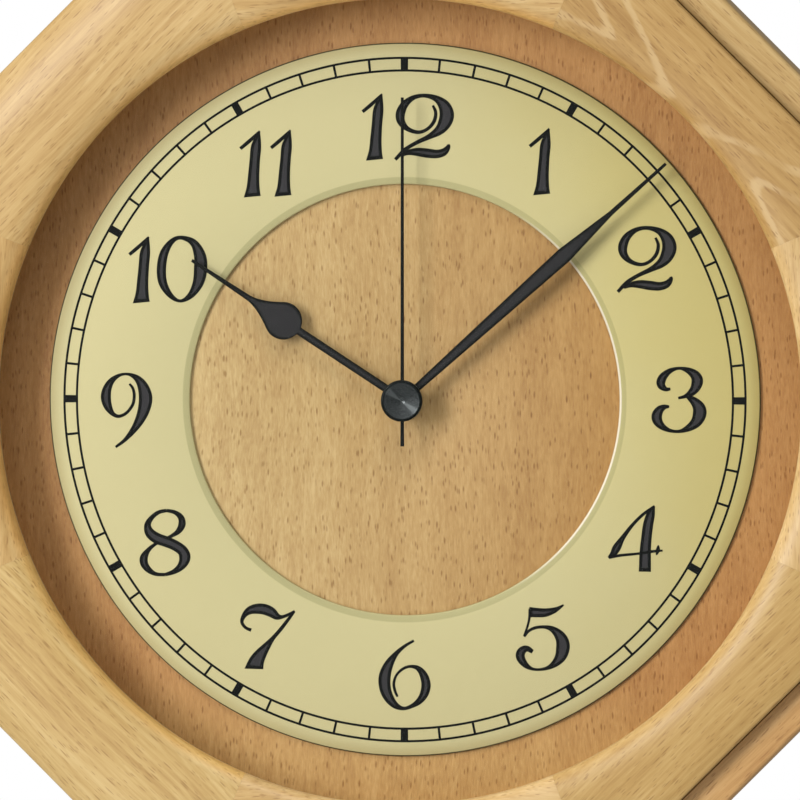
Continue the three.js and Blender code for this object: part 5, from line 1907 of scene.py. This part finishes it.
@dataclass(frozen=True)
class CellJacket(Finish):
    """The cell's jacket between two places on X: dark, with a pale band on the right and bare steel ends."""

    name: str = "cell_jacket"
    left: float = 0.0
    right: float = 50.0
    body: Colour = (0.05, 0.07, 0.10)
    band: Colour = (0.62, 0.60, 0.55)
    steel: Colour = (0.5, 0.5, 0.5)
    band_length: float = 11.0
    bare_end: float = 0.9

    def paint(self, shader: Shader) -> None:
        """Builds the jacket."""
        place = shader.own_place()
        x, _, _ = shader.parts(place)
        dust = shader.noise(place, (2.0, 2.0, 2.0), 3.0)
        bare = (x > self.right - self.bare_end) + (1 - (x > self.left + self.bare_end))
        jacket = shader.mix(x > self.right - self.band_length, self.body, self.band)
        shader.set(Base_Color=shader.mix(bare, jacket, self.steel), Metallic=bare)
        shader.set(Roughness=0.3 + dust * 0.12)


MOVEMENT_FINISHES: dict[Satin, dict[str, float]] = {
    Satin("moulded_black", (0.022, 0.022, 0.024), 0.5, 0.0, 0.12, (0.35, 0.35, 0.35), 0.03): {
        "movement_rear_shell": 0.25,
        "movement_front_shell": 0.25,
    },
    Satin("moulded_white", (0.78, 0.77, 0.72), 0.42, 0.0, 0.04, (1.2, 1.2, 1.2), 0.01): {
        f"{wheel}_wheel": 0.06
        for wheel in ("hour", "minute", "motion", "second", "minute_third", "second_third")
    },
    Satin("sintered_magnet", (0.09, 0.09, 0.1), 0.4, 0.7, 0.12, (0.5, 0.5, 0.5), 0.02): {
        "minute_rotor": 0.05,
        "second_rotor": 0.05,
    },
    Satin("wound_copper", (0.52, 0.22, 0.08), 0.35, 0.8, 0.15, (0.16, 4.0, 4.0), 0.06): {
        "minute_motor_coil": 0.08,
        "second_motor_coil": 0.08,
        "radio_antenna": 0.1,
    },
    Satin("solder_mask_green", (0.02, 0.16, 0.07), 0.35, 0.0, 0.15, (1.6, 1.6, 1.6), 0.02): {
        "circuit_board": 0.06,
    },
    Satin("sprung_steel", (0.5, 0.5, 0.5), 0.3, 1.0, 0.06, (1.0, 1.0, 1.0), 0.01): {
        "battery_spring_contact": 0.06,
        "battery_plus_contact": 0.06,
    },
    Satin("nut_steel", (0.4, 0.38, 0.34), 0.35, 1.0, 0.08, (0.8, 0.8, 0.8), 0.01): {
        "bush_nut": 0.25,
        "bush_washer": 0.08,
    },
}


@dataclass
class Movement:
    """The radio-controlled movement behind the board: new pieces for what shows, finishes for the rest."""

    nub: float = 1.3
    nub_radius: float = 2.7
    rim: float = 0.5
    steel_depth: float = 0.12

    def build(self) -> None:
        """Makes the cell and the buttons, and dresses the movement's own CAD nodes with softened edges."""
        self.cell()
        self.buttons()
        for finish, edges in MOVEMENT_FINISHES.items():
            material = finish.material()
            for node, edge in edges.items():
                dress_node(node, material, edge)

    def cell(self) -> None:
        """Makes the AA cell with its rolled rims, crimped base and positive cap."""
        low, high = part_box("battery")
        left, right = low.x / MM, high.x / MM
        height = -(low.y + high.y) / 2 / MM
        radius = (high.z - low.z) / 2 / MM
        shoulder, small = right - self.nub, (self.rim, self.rim)
        body = radius - self.steel_depth
        profile = [(0, left + 0.25), (radius - 2.2, left + 0.2), (radius - 1.6, left)]
        profile += arc((radius - self.rim, left + self.rim), small, -90, 0, 4)
        profile += [(radius, left + 1.4), (body, left + 1.6)]
        profile += [(body, shoulder - 1.6), (radius, shoulder - 1.4)]
        profile += arc((radius - self.rim, shoulder - self.rim), small, 0, 90, 4)
        profile += [(radius - 1.2, shoulder - 0.15), (self.nub_radius + 0.5, shoulder - 0.15)]
        profile += [(self.nub_radius, shoulder + 0.1), (self.nub_radius, right - 0.3)]
        profile += [(self.nub_radius - 0.3, right), (0, right)]
        place = (height, middle_of("battery")[1])
        piece = MeshDraft().turn(profile, 72, place, Axis.ACROSS).build("aa_cell", sharp=30.0)
        jacket = CellJacket(left=left, right=shoulder).material()
        finish_piece(piece, "case", "cell_jacket", jacket, "battery")

    @staticmethod
    def buttons() -> None:
        """Makes the two push buttons with dished ends."""
        finish = Satin("button_black", (0.03, 0.03, 0.034), 0.42, 0.0, 0.1, (0.4, 0.4, 0.4), 0.02).material()
        for name in ("set", "receive"):
            node = f"button_{name}"
            rear, front = heights(node)
            profile = [(0, rear + 0.22), (1.1, rear + 0.16), (1.6, rear)]
            profile += arc((1.9, rear + 0.3), (0.3, 0.3), -90, 0, 4)
            profile += [(2.2, front - 0.7), (2.9, front - 0.7), (3.0, front - 0.6), (3.0, front - 0.1)]
            profile += [(2.9, front), (0, front)]
            piece = MeshDraft().turn(profile, 48, middle_of(node)).build(f"push_button_{name}")
            finish_piece(piece, f"{name}_button", "housing_black", finish, node)


@dataclass
class Studio:
    """The camera, the softboxes, the pale surroundings and the floor."""

    azimuth: float = 5.2
    elevation: float = 2.1
    distance: float = 6.0
    seen_width: float = 0.280
    aim: Point3 = (-1.4, 29.3, -0.02)
    sensor: float = 36.0
    dial_height: float = 29.3
    ambient: float = 0.22
    floor_drop: float = 0.5
    floor_half: float = 4.0

    def build(self) -> None:
        """Sets the camera, the lights, the world and the floor."""
        self.camera()
        self.softbox("key_softbox", (-0.74, 1.0, 0.31), 2.6, (0.85, 1.53), 56.0)
        self.softbox("overhead_softbox", (0.05, 0.55, 0.83), 3.0, (2.0, 1.17), 37.5)
        self.world()
        self.floor()
        bpy.context.scene.view_settings.view_transform = "Standard"

    def camera(self) -> None:
        """Places the camera where the photographer stood."""
        azimuth, elevation = math.radians(self.azimuth), math.radians(self.elevation)
        back = Vector((
            math.sin(azimuth) * math.cos(elevation),
            -math.cos(azimuth) * math.cos(elevation),
            math.sin(elevation),
        ))
        data = bpy.data.cameras.new("front_camera")
        data.sensor_width = self.sensor
        data.lens = self.sensor * self.distance / self.seen_width
        data.clip_end = 50.0
        camera = bpy.data.objects.new("front_camera", data)
        camera.location = point(*self.aim) + back * self.distance
        camera.rotation_euler = (-back).to_track_quat("-Z", "Y").to_euler()
        bpy.context.scene.collection.objects.link(camera)
        bpy.context.scene.camera = camera

    def softbox(self, name: str, towards: Point3, distance: float, size: Point2, power: float) -> None:
        """Places a rectangular softbox that faces the dial.

        Args:
            name: The light's name.
            towards: Its direction from the dial: right, out from the wall and up.
            distance: How far it stands off, in metres.
            size: Its width and height, in metres.
            power: Its power, in watts.
        """
        data = bpy.data.lights.new(name, "AREA")
        data.shape = "RECTANGLE"
        data.size, data.size_y = size
        data.energy = power
        light = bpy.data.objects.new(name, data)
        direction = Vector((towards[0], -towards[1], towards[2])).normalized()
        light.location = point(0, self.dial_height, 0) + direction * distance
        light.rotation_euler = (-direction).to_track_quat("-Z", "Y").to_euler()
        bpy.context.scene.collection.objects.link(light)

    def world(self) -> None:
        """Makes the white backdrop and the softer light that it gives."""
        world = bpy.data.worlds.new("studio")
        world.use_nodes = True
        bpy.context.scene.world = world
        tree = world.node_tree
        background = tree.nodes["Background"]
        path = tree.nodes.new("ShaderNodeLightPath")
        strength = tree.nodes.new("ShaderNodeMapRange")
        strength.inputs["To Min"].default_value = self.ambient
        strength.inputs["To Max"].default_value = 1.0
        tree.links.new(path.outputs["Is Camera Ray"], strength.inputs["Value"])
        tree.links.new(strength.outputs["Result"], background.inputs["Strength"])
        background.inputs["Color"].default_value = (1.0, 1.0, 1.0, 1.0)

    def floor(self) -> None:
        """Lays the plain pale floor below the clock."""
        low, _ = cad_bounds
        z = low.z - self.floor_drop
        half = self.floor_half
        mesh = bpy.data.meshes.new("studio_floor")
        corners = [(-half, -half, z), (half, -half, z), (half, half, z), (-half, half, z)]
        mesh.from_pydata(corners, [], [(0, 1, 2, 3)])
        floor = bpy.data.objects.new("studio_floor", mesh)
        bpy.context.scene.collection.objects.link(floor)
        mesh.materials.append(Satin("pale_floor", (0.8, 0.8, 0.79), 0.7, mottle=0.01).material())


def main() -> None:
    """Builds the studio and every part of the clock."""
    logging.basicConfig(level=logging.INFO, format="%(name)s: %(message)s")
    Studio().build()
    ring = StaveRing()
    wood = Wood()
    Case(ring).build(wood)
    Door(ring).build(wood)
    Glazing().build()
    DialBoard().build()
    ChapterRing().build()
    Hands().build()
    Hinge().build()
    Catch().build()
    Hanging().build()
    Movement().build()


if __name__ == "__main__":
    main()
